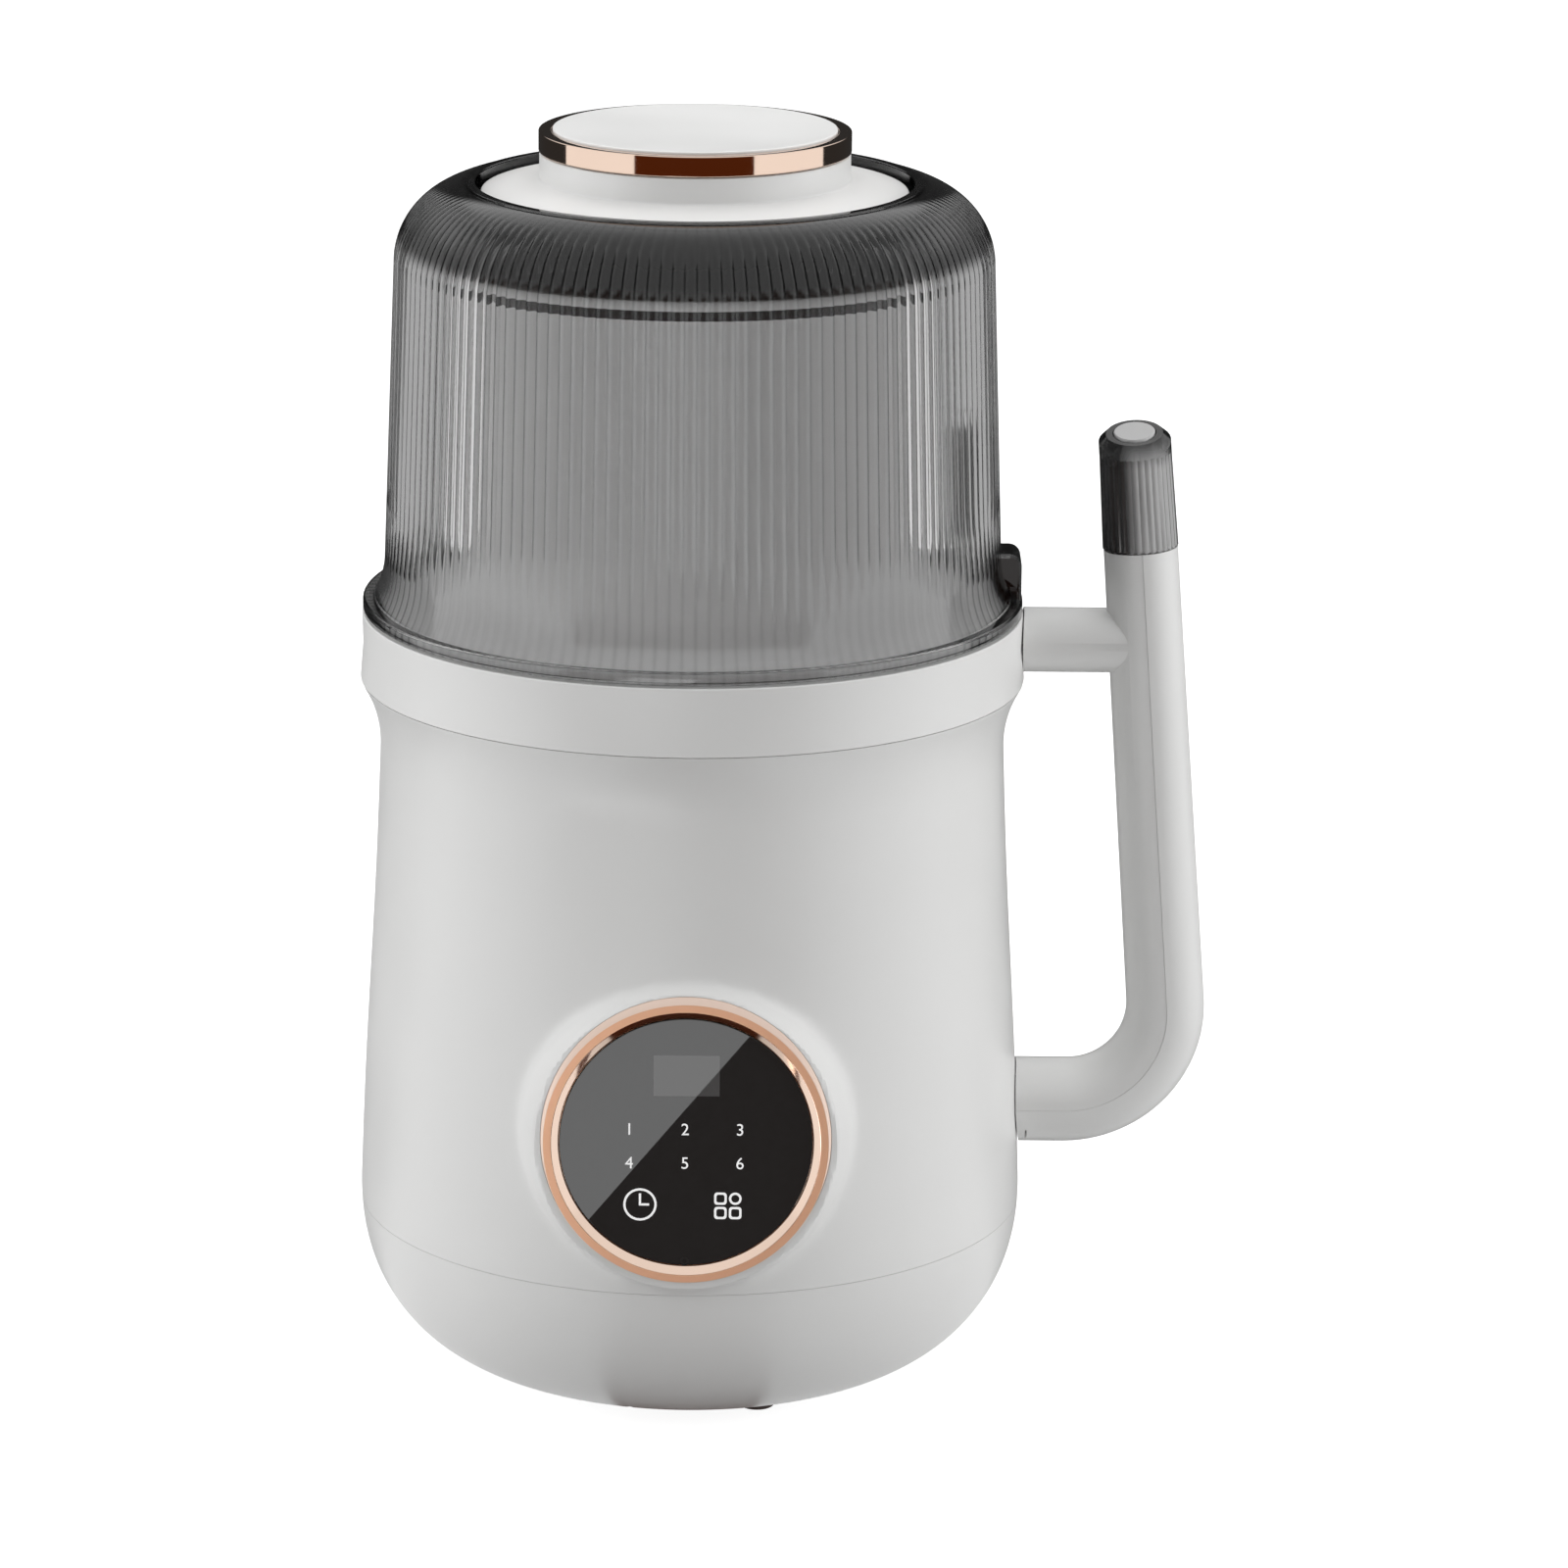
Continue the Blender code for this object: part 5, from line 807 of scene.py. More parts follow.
inside += arc(arc_r, SHOULDER_Z, SHOULDER_ARC - HOOD_WALL, 0.0, CEILING_TURN, SHOULDER_ROWS // 2)
low_z = LID_LEDGE_Z - LID_LEDGE_T
inside += [(LIP_R, low_z), (LID_LEDGE_R, low_z), (LID_LEDGE_R, LID_LEDGE_Z), (LIP_IN_R, LID_LEDGE_Z)]
hood = spun("hood_shell_skin", outside + inside, FLUTES * COLUMNS, closed=True)
pressed(hood, FLUTE_DEPTH, flute_weight)
LUG_REACH, LUG_W, LUG_H, LUG_ROOT, LUG_ROUND, LUG_EDGE = 0.0829, 0.0140, 0.0152, 0.0070, 0.0030, 0.0009
lug_top, lug_low = HOOD_Z + LUG_H, FLANGE_Z - 0.0001
side = [(LUG_REACH - LUG_ROOT, lug_low), (LUG_REACH, lug_low)]
side += arc(LUG_REACH - LUG_ROUND, lug_top - LUG_ROUND, LUG_ROUND, 0.0, pi / 2, 8)
side += [(LUG_REACH - LUG_ROOT, lug_top)]
lug = slab("hood_lug", side, -LUG_W / 2, LUG_W / 2, UPRIGHT)
bevelled(lug, LUG_EDGE, 3)
joined(hood, lug)
finished(hood, "hood", hood_smoke, "smoked_clear", "hood_shell")


def on_lug(face):
    """Whether a face of the hood is on its lug."""
    spot = face.center
    return spot.z > FLANGE_Z and abs(spot.y) < LUG_W and spot.x > LUG_REACH - LUG_ROOT / 2


painted(hood, lug_smoke, on_lug)

# %% [markdown]
# A thin light grey liner stands 1.5 mm inside the hood's wall. It is what makes
# the wall read as grey rather than black, while the crown above it stays dark, helped by painted shade in the
# hood's colour. A band painted black, as a painted shadow, parts the wall from the narrow light rim under the
# shoulder.

# %% Hood liner
LINER_GAP, LINER_T, SEAL_T, LINER_FOOT_T, LINER_ROUND = 0.0015, 0.0013, 0.0013, 0.0014, 0.0003
LINER_OUT, LINER_IN = HOOD_WALL + LINER_GAP, HOOD_WALL + LINER_GAP + LINER_T
WALL_TOP, RIM_LOW, RIM_TOP = SHOULDER_Z - 0.0009, SHOULDER_Z + 0.0014, SHOULDER_Z + 0.0037
BAND_DEPTH = 0.0006
liner_z = rim_top + GAP + SEAL_T + GAP
liner_foot = REBATE_R - GAP


def rim_radius(inset, z):
    """Radius of the rounded shoulder, less an inset, at a height above its centre."""
    return arc_r + sqrt((SHOULDER_ARC - inset) ** 2 - (z - SHOULDER_Z) ** 2)


outline = [(rim_radius(LINER_OUT, RIM_TOP), RIM_TOP), (rim_radius(LINER_OUT, RIM_LOW), RIM_LOW)]
outline += [(SHOULDER_R - LINER_OUT, WALL_TOP), (FOOT_OF_WALL_R - LINER_OUT, FOOT_OF_WALL_Z)]
outline += [(r - LINER_OUT, z) for r, z in flare]
outline += [(liner_foot, liner_z + LINER_FOOT_T), (liner_foot, liner_z)]
outline += [(FLANGE_R - FLARE_IN - LINER_IN, liner_z)] + [(r - LINER_IN, z) for r, z in flare][::-1]
outline += [(FOOT_OF_WALL_R - LINER_IN, FOOT_OF_WALL_Z), (SHOULDER_R - LINER_IN, SHOULDER_Z)]
outline += [(rim_radius(LINER_IN, RIM_TOP), RIM_TOP)]
liner = turned("hood_liner", outline, "hood", liner_grey, "light_grey_liner", LINER_ROUND, closed=True)


def on_painted_shadow_band(face):
    """Whether a face of the liner is on the band painted black as the shadow between wall and rim."""
    out = hypot(face.center.x, face.center.y) > SHOULDER_R - LINER_OUT - BAND_DEPTH
    return out and WALL_TOP < face.center.z < RIM_LOW


# Painted shadow: the band between the wall and the rim is painted black.
painted(liner, black_mould, on_painted_shadow_band)

# %% [markdown]
# ## Lid and knob
# A white plate with a stepped skirt lies in the hood's mouth on a black gasket. The
# knob is a rose-gold ring with a white, slightly dished cap.

# %% Lid and knob
LID_R, LID_SKIRT_R, LID_EDGE_T, LID_SINK, LID_ROUND = 0.0534, 0.0510, 0.0016, 0.0018, 0.0006
LID_Z = HOOD_TOP_Z - LID_SINK - LID_EDGE_T
LID_TOP_Z = LID_Z + LID_EDGE_T
LID_CONE_RISE, LID_SKIRT_H, LID_SKIRT_T, LID_HOLLOW_R, CAP_SEAT_H = 0.0031, 0.0066, 0.0020, 0.0360, 0.0012
KNOB_SKIRT_R, KNOB_SKIRT_Z = 0.0388, LID_TOP_Z + LID_CONE_RISE
KNOB_Z, KNOB_R, KNOB_RING_H, KNOB_CAP_R = KNOB_SKIRT_Z + 0.0066, 0.0390, 0.0051, 0.0355
CAP_T, CAP_DISH, CAP_DIMPLE, DIMPLE_R, CAP_ROUND, CAP_LEDGE_W = 0.0020, 0.0006, 0.0001, 0.08, 0.0007, 0.0018
LIP_SEAL_H, SMALL_ROUND, DISH_END, DISH_POINTS = 0.0018, 0.0003, 0.97, 24
cap_seat_r = KNOB_CAP_R - CAP_LEDGE_W
skirt_low, skirt_in = LID_Z - LID_SKIRT_H, LID_SKIRT_R - LID_SKIRT_T
outline = [(0.0, KNOB_Z + CAP_SEAT_H), (cap_seat_r - GAP, KNOB_Z + CAP_SEAT_H), (cap_seat_r - GAP, KNOB_Z)]
outline += [(KNOB_SKIRT_R, KNOB_Z), (KNOB_SKIRT_R, KNOB_SKIRT_Z), (LID_R, LID_TOP_Z), (LID_R, LID_Z)]
outline += [(LID_SKIRT_R, LID_Z), (LID_SKIRT_R, skirt_low), (skirt_in, skirt_low), (skirt_in, LID_Z)]
outline += [(LID_HOLLOW_R, LID_Z), (LID_HOLLOW_R, KNOB_Z - LID_EDGE_T), (0.0, KNOB_Z - LID_EDGE_T)]
turned("lid_plate", outline, "lid", white, "white_shell", LID_ROUND)
gasket_in, gasket_top = LID_SKIRT_R + GAP, LID_Z - GAP
gasket_z, lip_out = LID_LEDGE_Z + GAP, LIP_IN_R - GAP
outline = [(LID_R, gasket_top), (LID_R, gasket_z + LIP_SEAL_H), (lip_out, gasket_z + LIP_SEAL_H / 2)]
outline += [(LID_R, gasket_z), (gasket_in, gasket_z), (gasket_in, gasket_top)]
turned("lid_gasket", outline, "lid", black_rubber, "silicone_black", SMALL_ROUND, closed=True)
ring_low = KNOB_Z + GAP
ring_top = ring_low + KNOB_RING_H
cap_low, cap_top = ring_top - CAP_T, ring_top + CAP_DISH
outline = [(KNOB_CAP_R + GAP, ring_top), (KNOB_R, ring_top), (KNOB_R, ring_low), (cap_seat_r, ring_low)]
outline += [(cap_seat_r, cap_low - GAP), (KNOB_CAP_R + GAP, cap_low - GAP)]
turned("knob_ring", outline, "lid", rose_polished, "rose_gold", SMALL_ROUND, closed=True)


def dish_height(share):
    """The cap's height at a share of its radius: a shallow dish with a dimple in its middle."""
    return cap_top - CAP_DISH * (1 - share ** 2) - CAP_DIMPLE * exp(-(share / DIMPLE_R) ** 2)


dish = [(KNOB_CAP_R * share, dish_height(share)) for share in heights(0.0, DISH_END, DISH_POINTS)]
rim = soften([dish[-1], (KNOB_CAP_R, cap_top), (KNOB_CAP_R, cap_low)], CAP_ROUND)[1:]
turned("knob_cap", dish + rim + [(0.0, cap_low)], "lid", white, "white_shell")

# %% [markdown]
# ## Control panel
# The trim ring has a flat satin band and a polished bevel that falls to the black
# window. Its seat lies a little higher than the band, so its outer side shows above
# it as a crescent, coloured pale as a painted reflection. The faces get their finish by their tilt and their
# distance from the centre.

# %% Panel ring and window
BAND_EDGE, BAND_FALL, RING_LEDGE_W, RING_ROUND, GLASS_ROUND = 0.0006, 0.0002, 0.0024, 0.00012, 0.0002
FLAT = 0.99
band_in, band_out = PANEL_R - BAND_W, PANEL_R - BAND_EDGE
band_middle = (band_in + band_out) / 2
glass_edge, glass_top = band_in - BEVEL_W, BAND_PROUD - BEVEL_H
ledge_in, ledge_top = glass_edge - RING_LEDGE_W, glass_top - GLASS_T - GAP
outline = [(band_in, BAND_PROUD), (band_out, BAND_PROUD), (PANEL_R, 0.0), (PANEL_R, RING_BACK)]
outline += [(ledge_in, RING_BACK), (ledge_in, ledge_top), (glass_edge, ledge_top), (glass_edge, glass_top)]
panel_ring = spun("panel_ring_skin", soften(outline, RING_ROUND, closed=True), closed=True)
for vertex in panel_ring.data.vertices:
    if hypot(vertex.co.x, vertex.co.y) > band_middle:
        share = unit((BAND_PROUD - vertex.co.z) / BAND_PROUD)
        vertex.co.y += SEAT_RISE * share - BAND_FALL * (1.0 - share)
    else:
        vertex.co.y -= BAND_FALL * unit((vertex.co.z - glass_top) / BEVEL_H)
panel_ring.data.transform(PANEL_FRAME)
finished(panel_ring, "body", rose_polished, "rose_gold", "panel_ring")
panel_axis = PANEL_FRAME.to_3x3() @ Vector((0.0, 0.0, 1.0))
to_panel = PANEL_FRAME.inverted()


def is_flat(face):
    """Whether a face looks along the panel's axis."""
    return face.normal.dot(panel_axis) > FLAT


def on_crescent(face):
    """Whether a face slopes outside the flat band."""
    return not is_flat(face) and (to_panel @ face.center).xy.length > band_middle


painted(panel_ring, rose_satin, is_flat)
# Painted reflection: the crescent outside the band is coloured pale.
painted(panel_ring, rose_painted_reflection, on_crescent)
pane = disc(glass_edge - GAP, glass_top, glass_top - GLASS_T)
turned("panel_glass", pane, "body", acrylic, "panel_black", GLASS_ROUND, place=PANEL_FRAME)

# %% [markdown]
# The prints are plain: a number for each of the six programmes, a clock, three
# tiles with a small ring, and a black ring for the sensor. Each is a very thin
# plate on the window, as screen print is.

# %% Panel prints
PRINT_T = 0.00006
print_low, print_high = glass_top - PRINT_T, glass_top + PRINT_T
LINE_W = 0.00055


def loop(name, outer, inner, x, y):
    """A flat line round a shape: its outer outline less its inner one."""
    place = PANEL_FRAME @ at(x, y, 0.0)
    thing = slab(name, outer, print_low, print_high, place)
    return cut(thing, slab("inside", inner, print_low - PRINT_T, print_high + PRINT_T, place))


def circle(radius, count=40):
    """Outline of a circle."""
    return arc(0.0, 0.0, radius, 0.0, 2 * pi * (1 - 1 / count), count - 1)


def ring_print(name, radius, x, y):
    """A circle drawn with one line."""
    return loop(name, circle(radius), circle(radius - LINE_W), x, y)


def tile_print(name, size, x, y):
    """A square with round corners drawn with one line."""
    inside = size - 2 * LINE_W
    return loop(name, rounded_box(size, size, size / 4), rounded_box(inside, inside, size / 6), x, y)


CLOCK_X, CLOCK_Y, CLOCK_R, LONG_HAND, SHORT_HAND = -0.0112, -0.0158, 0.0041, 0.68, 0.55
clock = ring_print("print_clock", CLOCK_R, CLOCK_X, CLOCK_Y)
hand_w, up_l, side_l = LINE_W / 2, CLOCK_R * LONG_HAND, CLOCK_R * SHORT_HAND
hands = [(-hand_w, up_l), (hand_w, up_l), (hand_w, hand_w)]
hands += [(side_l, hand_w), (side_l, -hand_w), (-hand_w, -hand_w)]
place = PANEL_FRAME @ at(CLOCK_X, CLOCK_Y, 0.0)
joined(clock, slab("hands", hands, print_low, print_high, place))
finished(clock, "body", print_white, "white_shell")
TILE, TILE_X, TILE_Y, TILE_STEP = 0.0031, 0.0104, -0.0160, 0.00182
tiles = ring_print("print_tiles", TILE / 2, TILE_X + TILE_STEP, TILE_Y + TILE_STEP)
for i, (side_x, side_y) in enumerate(((-1, 1), (-1, -1), (1, -1))):
    joined(tiles, tile_print(f"tile_{i}", TILE, TILE_X + side_x * TILE_STEP, TILE_Y + side_y * TILE_STEP))
finished(tiles, "body", print_white, "white_shell")
DIGIT_SIZE, DIGIT_COLUMNS, DIGIT_ROWS = 0.0042, (-0.0139, -0.0002, 0.0133), (0.0031, -0.0054)
for i in range(6):
    bpy.ops.object.select_all(action="DESELECT")
    bpy.ops.object.text_add()
    digit = bpy.context.object
    digit.name = f"print_number_{i + 1}"
    digit.data.body = str(i + 1)
    digit.data.size = DIGIT_SIZE
    digit.data.extrude = PRINT_T
    digit.data.align_x = digit.data.align_y = "CENTER"
    bpy.ops.object.convert(target="MESH")
    spot = (DIGIT_COLUMNS[i % 3], DIGIT_ROWS[i // 3], glass_top)
    digit.data.transform(PANEL_FRAME @ Matrix.Translation(spot))
    finished(digit, "body", print_white, "white_shell")
MARK_R, MARK_X, MARK_Y = 0.0011, -0.0002, -0.0302
mark = ring_print("print_sensor_mark", MARK_R, MARK_X, MARK_Y)
finished(mark, "body", print_black, "dark_moulding")

# %% [markdown]
# ## Handle
# A bent tube is moulded in two shells that meet on a line round its middle. The
# tube is a curve with a round bevel, turned into a mesh, and a slab along its
# centre line then cuts each shell. The inner shell is slimmer by a tenth of a
# millimetre, and that step is the parting line.

# %% Handle
ARM_R, ARM_Z, ARM_IN, BEND_R = 0.0111, 0.0685, 0.0080, 0.0255
TUBE_TOP_R, TUBE_LOW_R = 0.0096, 0.0102
CROSSBAR_R, CROSSBAR_Z = 0.00825, 0.1906
BEND_POINTS, BEVEL_POINTS, BLOCK_ROWS = 28, 22, 40
SPLIT, INNER_LESS, OUTER_LESS, OVER = 0.00004, 0.00024, 0.00014, 0.004
SWITCH_BORE_R, SWITCH_BORE_H = 0.0052, 0.014
SLOT_X, SLOT_Z, SLOT_W, SLOT_H, SLOT_NEAR, SLOT_FAR = 0.0864, 0.0610, 0.0005, 0.0036, 0.0065, 0.0120


def handle_path():
    """Points along the handle's centre line: arm, bend and leaning tube."""
    cos_lean, sin_lean = cos(HANDLE_LEAN), sin(HANDLE_LEAN)
    bend_z = ARM_Z + BEND_R
    line = HANDLE_X * cos_lean + HANDLE_REF_Z * sin_lean
    bend_x = (line - bend_z * sin_lean - BEND_R) / cos_lean
    points = [Vector((body_radius(ARM_Z) - ARM_IN, 0.0, ARM_Z))]
    for i in range(BEND_POINTS + 1):
        turn = (pi / 2 + HANDLE_LEAN) * i / BEND_POINTS
        points.append(Vector((bend_x + BEND_R * sin(turn), 0.0, bend_z - BEND_R * cos(turn))))
    points.append(HANDLE_TOP - HANDLE_DIR * GAP)
    return points


def handle_tube(name, less):
    """The whole tube as a mesh, slimmer by a hair than the CAD's."""
    bpy.ops.object.select_all(action="DESELECT")
    bpy.ops.curve.primitive_bezier_curve_add()
    thing = bpy.context.object
    thing.name = name
    curve = thing.data
    curve.splines.clear()
    curve.dimensions, curve.use_fill_caps = "3D", True
    curve.bevel_depth, curve.bevel_resolution = 1.0, BEVEL_POINTS
    path = handle_path()
    spline = curve.splines.new("POLY")
    spline.points.add(len(path) - 1)
    for i, (point, spot) in enumerate(zip(spline.points, path)):
        share = unit((i - 1) / BEND_POINTS)
        point.co = (*spot, 1.0)
        point.radius = ARM_R + (TUBE_LOW_R - ARM_R) * share - less
    spline.points[-1].radius = TUBE_TOP_R - less
    only(thing)
    bpy.ops.object.convert(target="MESH")
    bpy.ops.object.mode_set(mode="EDIT")
    return closed_up(thing, IDENTITY)


def handle_half(name, shift, outer):
    """Slab on one side of the tube's centre line."""
    path = handle_path()
    path[-1] = path[-1] + HANDLE_DIR * OVER
    room = 2 * ARM_R
    line = []
    for i, spot in enumerate(path):
        along = (path[min(i + 1, len(path) - 1)] - path[max(i - 1, 0)]).normalized()
        line.append((spot.x + along.z * shift, spot.z - along.x * shift))
    start_x, top_z = line[0][0] - OVER, line[-1][1]
    rest = [(start_x, top_z)]
    if outer:
        rest = [(HANDLE_X + room, top_z), (HANDLE_X + room, ARM_Z - room), (start_x, ARM_Z - room)]
    return slab(name, [(start_x, line[0][1])] + line + rest, -room, room, UPRIGHT)


def body_block():
    """The body's and the collar's outer form, a hair larger, to cut the handle's ends."""
    side = [(r + GAP, z) for r, z in body_side(SEAM_Z - OVER, SHELL_TOP_Z, BLOCK_ROWS)]
    collar = disc(COLLAR_TOP_R + GAP, COLLAR_TOP_Z + OVER, SHELL_TOP_Z + GAP)[:3]
    return spun("body_block", collar + side + [(0.0, SEAM_Z - OVER)])


inner = handle_tube("handle_inner_skin", INNER_LESS)
bar_end = HANDLE_X + HANDLE_DIR.x * (CROSSBAR_Z - HANDLE_REF_Z) / HANDLE_DIR.z
along_bar = at(in_r, 0.0, CROSSBAR_Z) @ Matrix.Rotation(pi / 2, 4, "Y")
combined(inner, spun("bar", disc(CROSSBAR_R, bar_end - in_r, 0.0), BAR_STEPS, along_bar), "UNION")
outer = handle_tube("handle_outer_skin", OUTER_LESS)
for half, other_side in ((inner, handle_half("outer_side", -SPLIT / 2, True)),
                         (outer, handle_half("inner_side", SPLIT / 2, False))):
    cut(half, other_side)
    cut(half, body_block())
    cut(half, spun("switch_bore", disc(SWITCH_BORE_R, OVER, -SWITCH_BORE_H), SMALL_STEPS, HANDLE_FRAME))
slot = rounded_box(SLOT_W, SLOT_H, SLOT_W / 3)
slot_place = at(SLOT_X, 0.0, SLOT_Z) @ UPRIGHT
cut(outer, slab("arm_slot", slot, SLOT_NEAR, SLOT_FAR, slot_place))
finished(inner, "body", white, "white_shell", "handle_inner_shell")
finished(outer, "body", white, "white_shell", "handle_outer_shell")

# %% [markdown]
# ## Handle cap and start button
# The smoked cap is ribbed all round and ends in a smooth crown whose plane tilts
# towards the user. The round grey button stands just proud of it.

# %% Handle cap and button
CAP_H, CAP_TOP_R, CAP_CROWN_H, CROWN_R, CAP_WALL, CAP_ROOF_T = 0.0242, 0.00915, 0.0050, 0.0072, 0.0018, 0.0022
CROWN_TILT = radians(14.5)
CAP_RIBS, RIB_COLUMNS, RIB_DEPTH, CAP_STRAIGHT = 32, 6, 0.0003, 0.0004
BUTTON_R, BUTTON_PROUD, BUTTON_ROUND = 0.0052, 0.0005, 0.0002
FLANGE_W, STEM_R, STEM_LOW = 0.0012, 0.0023, 0.0060
ROOF_Z = CAP_H - CAP_ROOF_T


def crown_cone(radius, raise_by):
    """Tilted cone whose top plane and edge shape the crown."""
    place = HANDLE_FRAME @ at(0.0, 0.0, CAP_H + CAP_CROWN_H + raise_by)
    depth = 2 * CAP_H + CAP_CROWN_H
    side = [(0.0, 0.0), (radius, 0.0), (radius + depth, -depth), (0.0, -depth)]
    return spun("crown_cone", side, BAR_STEPS, place @ Matrix.Rotation(CROWN_TILT, 4, "X"))


def rib_weight(spot):
    """How deep the cap's side is pressed in between its ribs."""
    on_side = hypot(spot.x, spot.y) > CAP_TOP_R / 2 and spot.z < CAP_H - CAP_STRAIGHT / 2
    return ribbed(spot, CAP_RIBS) if on_side else 0.0


top = CAP_H + 2 * CAP_CROWN_H
side = [(0.0, top), (CAP_TOP_R, top), (CAP_TOP_R, CAP_H), (CAP_TOP_R, CAP_H - CAP_STRAIGHT)]
side += [(TUBE_TOP_R, CAP_STRAIGHT), (TUBE_TOP_R, 0.0), (0.0, 0.0)]
cap = spun("handle_cap_skin", side, CAP_RIBS * RIB_COLUMNS)
pressed(cap, RIB_DEPTH, rib_weight)
cap.data.transform(HANDLE_FRAME)
combined(cap, crown_cone(CROWN_R, 0.0), "INTERSECT")
hollow = disc(BUTTON_R + GAP, top + OVER, ROOF_Z)[:3] + disc(CAP_TOP_R - CAP_WALL, ROOF_Z, -OVER)[1:]
cut(cap, spun("hollow", hollow, SMALL_STEPS, HANDLE_FRAME))
finished(cap, "body", cap_smoke, "smoked_clear", "handle_cap")
flange_top = ROOF_Z - GAP
flange_low = flange_top - FLANGE_W
outline = disc(BUTTON_R, top, flange_top)[:3] + disc(BUTTON_R + FLANGE_W, flange_top, flange_low)[1:3]
outline += disc(STEM_R, flange_low, STEM_LOW)[1:]
button = spun("handle_button_skin", outline, BAR_STEPS, HANDLE_FRAME)
combined(button, crown_cone(BUTTON_R - BUTTON_PROUD / 2, BUTTON_PROUD), "INTERSECT")
bevelled(button, BUTTON_ROUND)
finished(button, "button", button_grey, "button_grey", "handle_button")

# %% [markdown]
# ## Finishes of the pieces that keep their CAD mesh

# %% CAD finishes
CAD_FINISHES = {
    steel_brushed: "drive_shaft lower_bearing upper_bearing blade_hub lower_blade upper_blade blade_nut "
                   "inlet_pins button_spring",
    steel_dark: "base_screw_1 base_screw_2 base_screw_3 base_screw_4 handle_screw_lower handle_screw_upper "
                "heater_ring motor_stator motor_rotor interlock_magnet",
    black_mould: "thermostat motor_chassis bearing_bracket cooling_fan hood_sensor power_inlet button_guide "
                 "start_switch",
    black_rubber: "cup_gasket shaft_seal hood_seal",
    board_green: "power_board display_board",
}
for material, names in CAD_FINISHES.items():
    for name in names.split():
        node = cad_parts[name]
        node.data.materials.clear()
        node.data.materials.append(material)

# %% [markdown]
# ## Floor and light
# A white floor keeps a soft shadow. Two tall soft boxes stand left and right, so
# the front is darker than both sides, and one hangs overhead. What the polished
# pieces mirror is drawn in the floor and the sky by direction: dark in front and
# behind, bright at both sides, as black and white cards do in a product studio.

# %% Floor and light
SIDE_START, SIDE_END, SOFT = radians(44.0), radians(108.0), radians(0.8)
NEAR_START, NEAR_REACH, FAR_REACH, SKY_LOW, SKY_HIGH = radians(20.0), 0.13, 0.45, 0.28, 0.40
# Each card has a colour as a mirror shows it, and one as it shows through the smoked plastic.
FRONT = ((0.080, 0.019, 0.005, 1.0), grey(0.30))
SIDES, BACK, OVERHEAD = (grey(1.05), grey(0.88)), (grey(0.03), grey(0.42)), (grey(0.95), grey(0.9))
FILL, PAPER, WHITE = grey(0.205), grey(0.5), grey(1.0)
FLOOR_R, FLOOR_LIFT, LIFT_NEAR, LIFT_FAR = 4.0, 0.90, 0.12, 0.60
STRIP_X, STRIP_SLOPE, STRIP_NEAR, STRIP_FAR, STRIP_LEFT = -0.0934, 0.1434, -0.26, -0.95, -0.3
STRIP_BRIGHT = grey(3.0)


def studio_pattern(tree, axes, low, start, through):
    """Colour in a direction, or at a place on the floor; low is 1 at the floor and 0 overhead.

    The front card is brown, for the metal, and the one behind is grey, for the hood.
    """
    forward = maths(tree, "MULTIPLY", axes["Y"], -1.0)
    turn = maths(tree, "ABSOLUTE", maths(tree, "ARCTAN2", axes["X"], forward))
    begin = ramp_between(tree, maths(tree, "SUBTRACT", turn, start), -SOFT, SOFT)
    behind = ramp_between(tree, turn, SIDE_END - SOFT, SIDE_END + SOFT)
    cards = FRONT, SIDES, BACK, OVERHEAD
    front, sides, back, above = (mixed_colour(tree, through, *card) for card in cards)
    ring = mixed_colour(tree, behind, mixed_colour(tree, begin, front, sides), back)
    return mixed_colour(tree, low, above, ring)


def bounced(tree, path):
    """1 for a ray that a glossy or a clear surface sends on."""
    return maths(tree, "MAXIMUM", path["Is Glossy Ray"], path["Is Transmission Ray"])


def emptied(owner):
    """The node tree of a world or a material, with nothing in it."""
    owner.use_nodes = True
    owner.node_tree.nodes.clear()
    return owner.node_tree


sky = bpy.data.worlds.new("studio")
bpy.context.scene.world = sky
tree = emptied(sky)
axes = axes_of(tree, add_node(tree, "TexCoord").outputs["Generated"])
low = ramp_between(tree, axes["Z"], SKY_LOW, SKY_HIGH, 1.0, 0.0)
path = add_node(tree, "LightPath").outputs
mirror = studio_pattern(tree, axes, low, SIDE_START, path["Is Transmission Ray"])
colour = mixed_colour(tree, bounced(tree, path), FILL, mirror)
colour = mixed_colour(tree, path["Is Camera Ray"], colour, WHITE)
background = add_node(tree, "Background", {"Color": colour, "Strength": 1.0})
add_node(tree, "OutputWorld", {"Surface": background.outputs[0]})

floor = spun("studio_floor", [(0.0, 0.0), (FLOOR_R, 0.0)], BAR_STEPS, at(0.0, 0.0, FLOOR_Z))
made = bpy.data.materials.new("white studio floor")
tree = emptied(made)
where = own_place(tree)
axes = axes_of(tree, where)
reach = add_node(tree, "VectorMath", {0: where}, operation="LENGTH").outputs["Value"]
begin = ramp_between(tree, reach, NEAR_REACH, FAR_REACH, NEAR_START, SIDE_START)
path = add_node(tree, "LightPath").outputs
mirror = studio_pattern(tree, axes, 1.0, begin, path["Is Transmission Ray"])
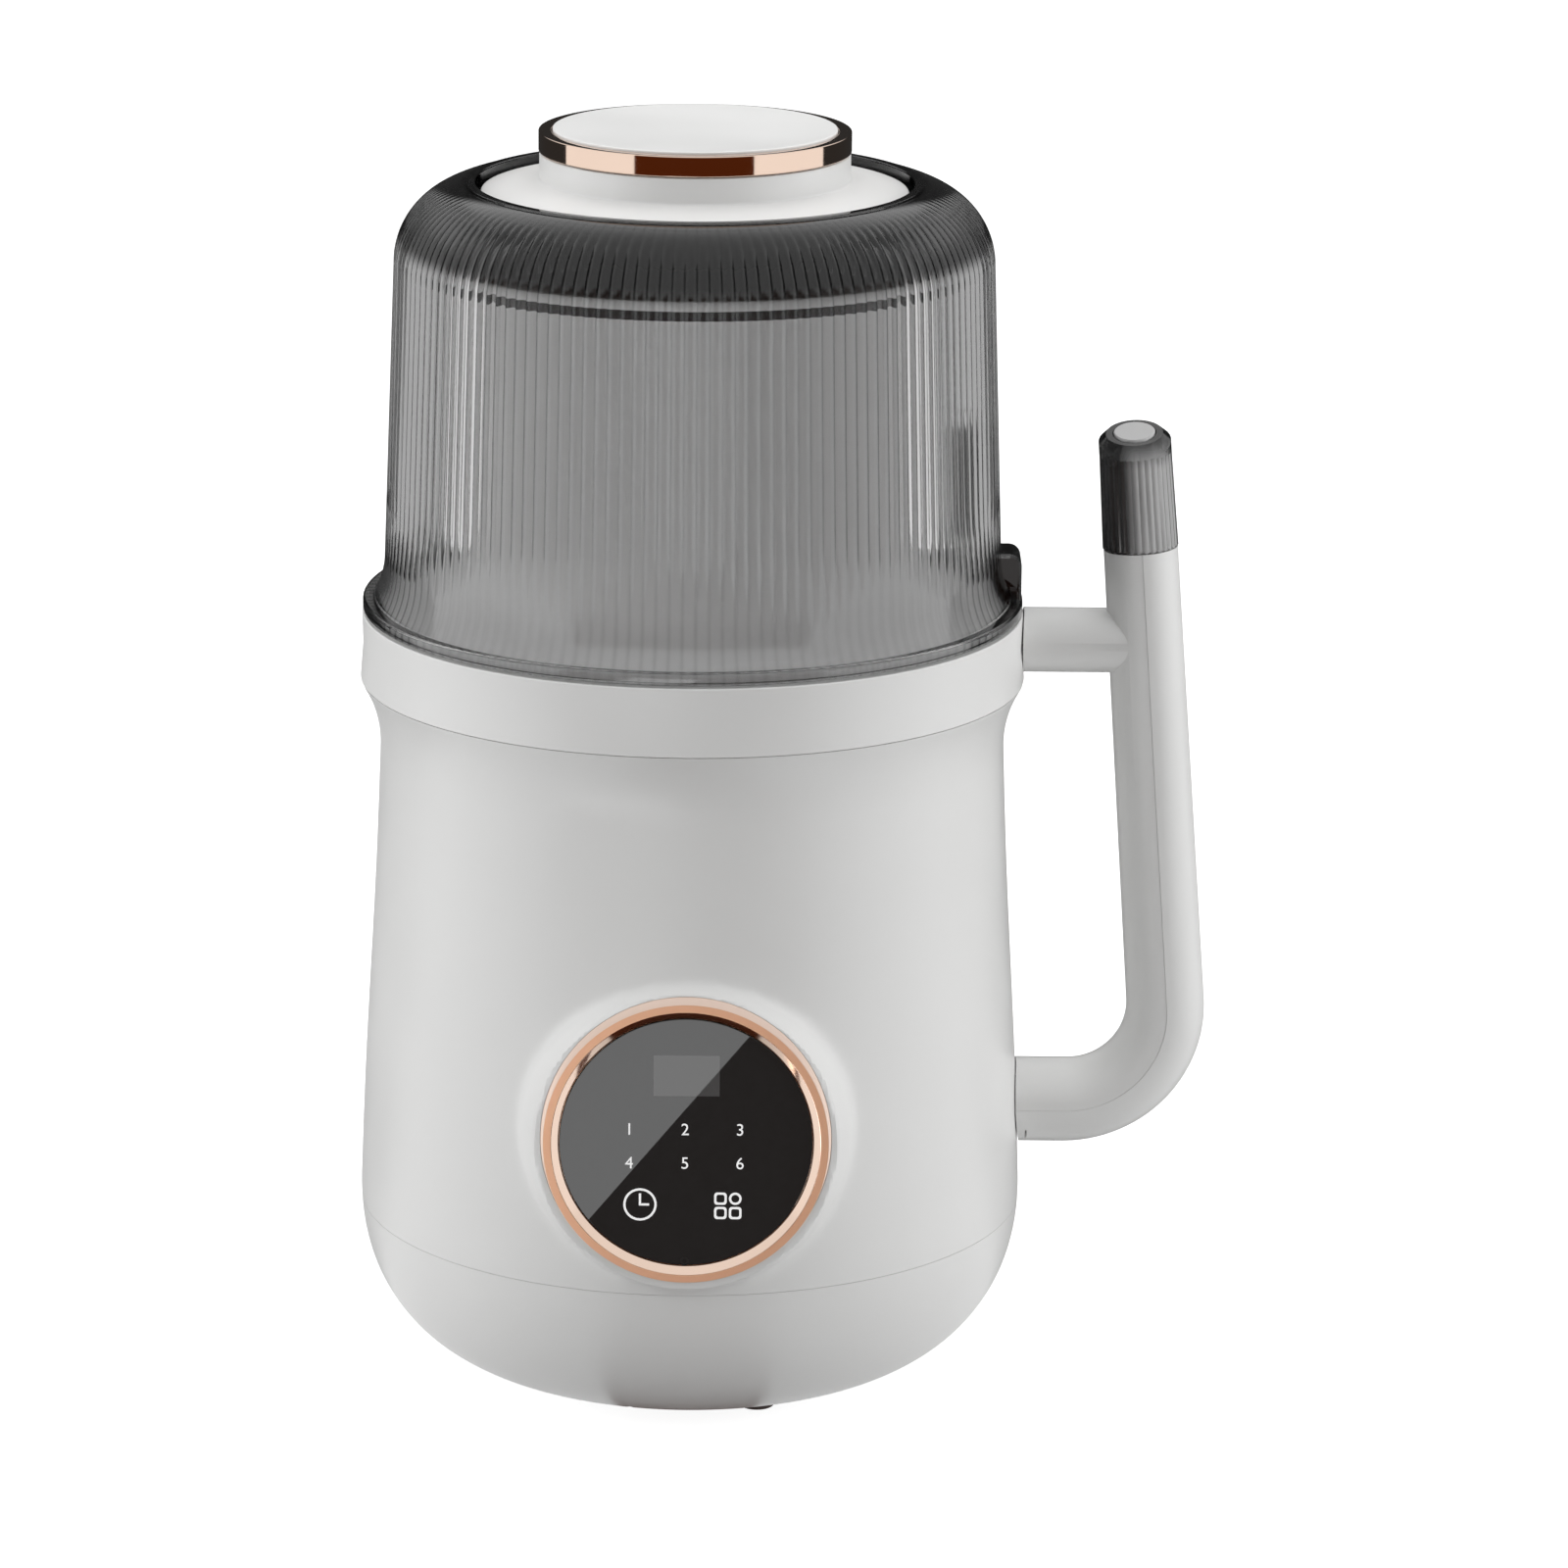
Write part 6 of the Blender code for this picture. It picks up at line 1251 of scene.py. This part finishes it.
# A bright strip on the floor in front, cut on a slant, is the diagonal in the window.
strip = maths(tree, "LESS_THAN", axes["X"], maths(tree, "MULTIPLY_ADD", axes["Y"], -STRIP_SLOPE, STRIP_X))
for test, axis, limit in (("LESS_THAN", "Y", STRIP_NEAR), ("GREATER_THAN", "Y", STRIP_FAR),
                          ("GREATER_THAN", "X", STRIP_LEFT)):
    strip = maths(tree, "MULTIPLY", strip, maths(tree, test, axes[axis], limit))
mirror = mixed_colour(tree, strip, mirror, STRIP_BRIGHT)
# The camera sees white paper that keeps a soft shadow; farther out it is plain white.
paper = add_node(tree, "BsdfDiffuse", {"Color": PAPER}).outputs[0]
lift_share = ramp_between(tree, reach, LIFT_NEAR, LIFT_FAR, FLOOR_LIFT, 1.0)
lift = add_node(tree, "Emission", {"Color": WHITE, "Strength": lift_share}).outputs[0]
seen = add_node(tree, "AddShader", {0: paper, 1: lift}).outputs[0]
shine = add_node(tree, "Emission", {"Color": mirror, "Strength": 1.0}).outputs[0]
unseen = add_node(tree, "MixShader", {0: bounced(tree, path), 1: paper, 2: shine}).outputs[0]
surface = add_node(tree, "MixShader", {0: path["Is Camera Ray"], 1: unseen, 2: seen}).outputs[0]
add_node(tree, "OutputMaterial", {"Surface": surface})
floor.data.materials.append(made)
BOX_AIM, SIDE_AZIMUTH = Vector((0.0, 0.0, 0.12)), radians(76.0)


def soft_box(name, azimuth, distance, height, width, tall, power):
    """A rectangular lamp that faces the machine, unseen by the camera and by mirrors."""
    bpy.ops.object.light_add(type="AREA")
    lamp = bpy.context.object
    lamp.name = name
    lamp.data.shape = "RECTANGLE"
    lamp.data.size = width
    lamp.data.size_y = tall
    lamp.data.energy = power
    spot = Vector((sin(azimuth) * distance, -cos(azimuth) * distance, height))
    turn = (BOX_AIM - spot).to_track_quat("-Z", "Y").to_matrix().to_4x4()
    lamp.matrix_world = Matrix.Translation(spot) @ turn
    lamp.visible_camera = False
    lamp.visible_glossy = False
    lamp.visible_transmission = False
    return lamp


for name, azimuth in (("soft_box_left", -SIDE_AZIMUTH), ("soft_box_right", SIDE_AZIMUTH)):
    soft_box(name, azimuth, distance=1.2, height=0.55, width=1.3, tall=1.1, power=11.4)
soft_box("soft_box_top", pi, distance=0.25, height=1.5, width=1.2, tall=1.2, power=13.0)
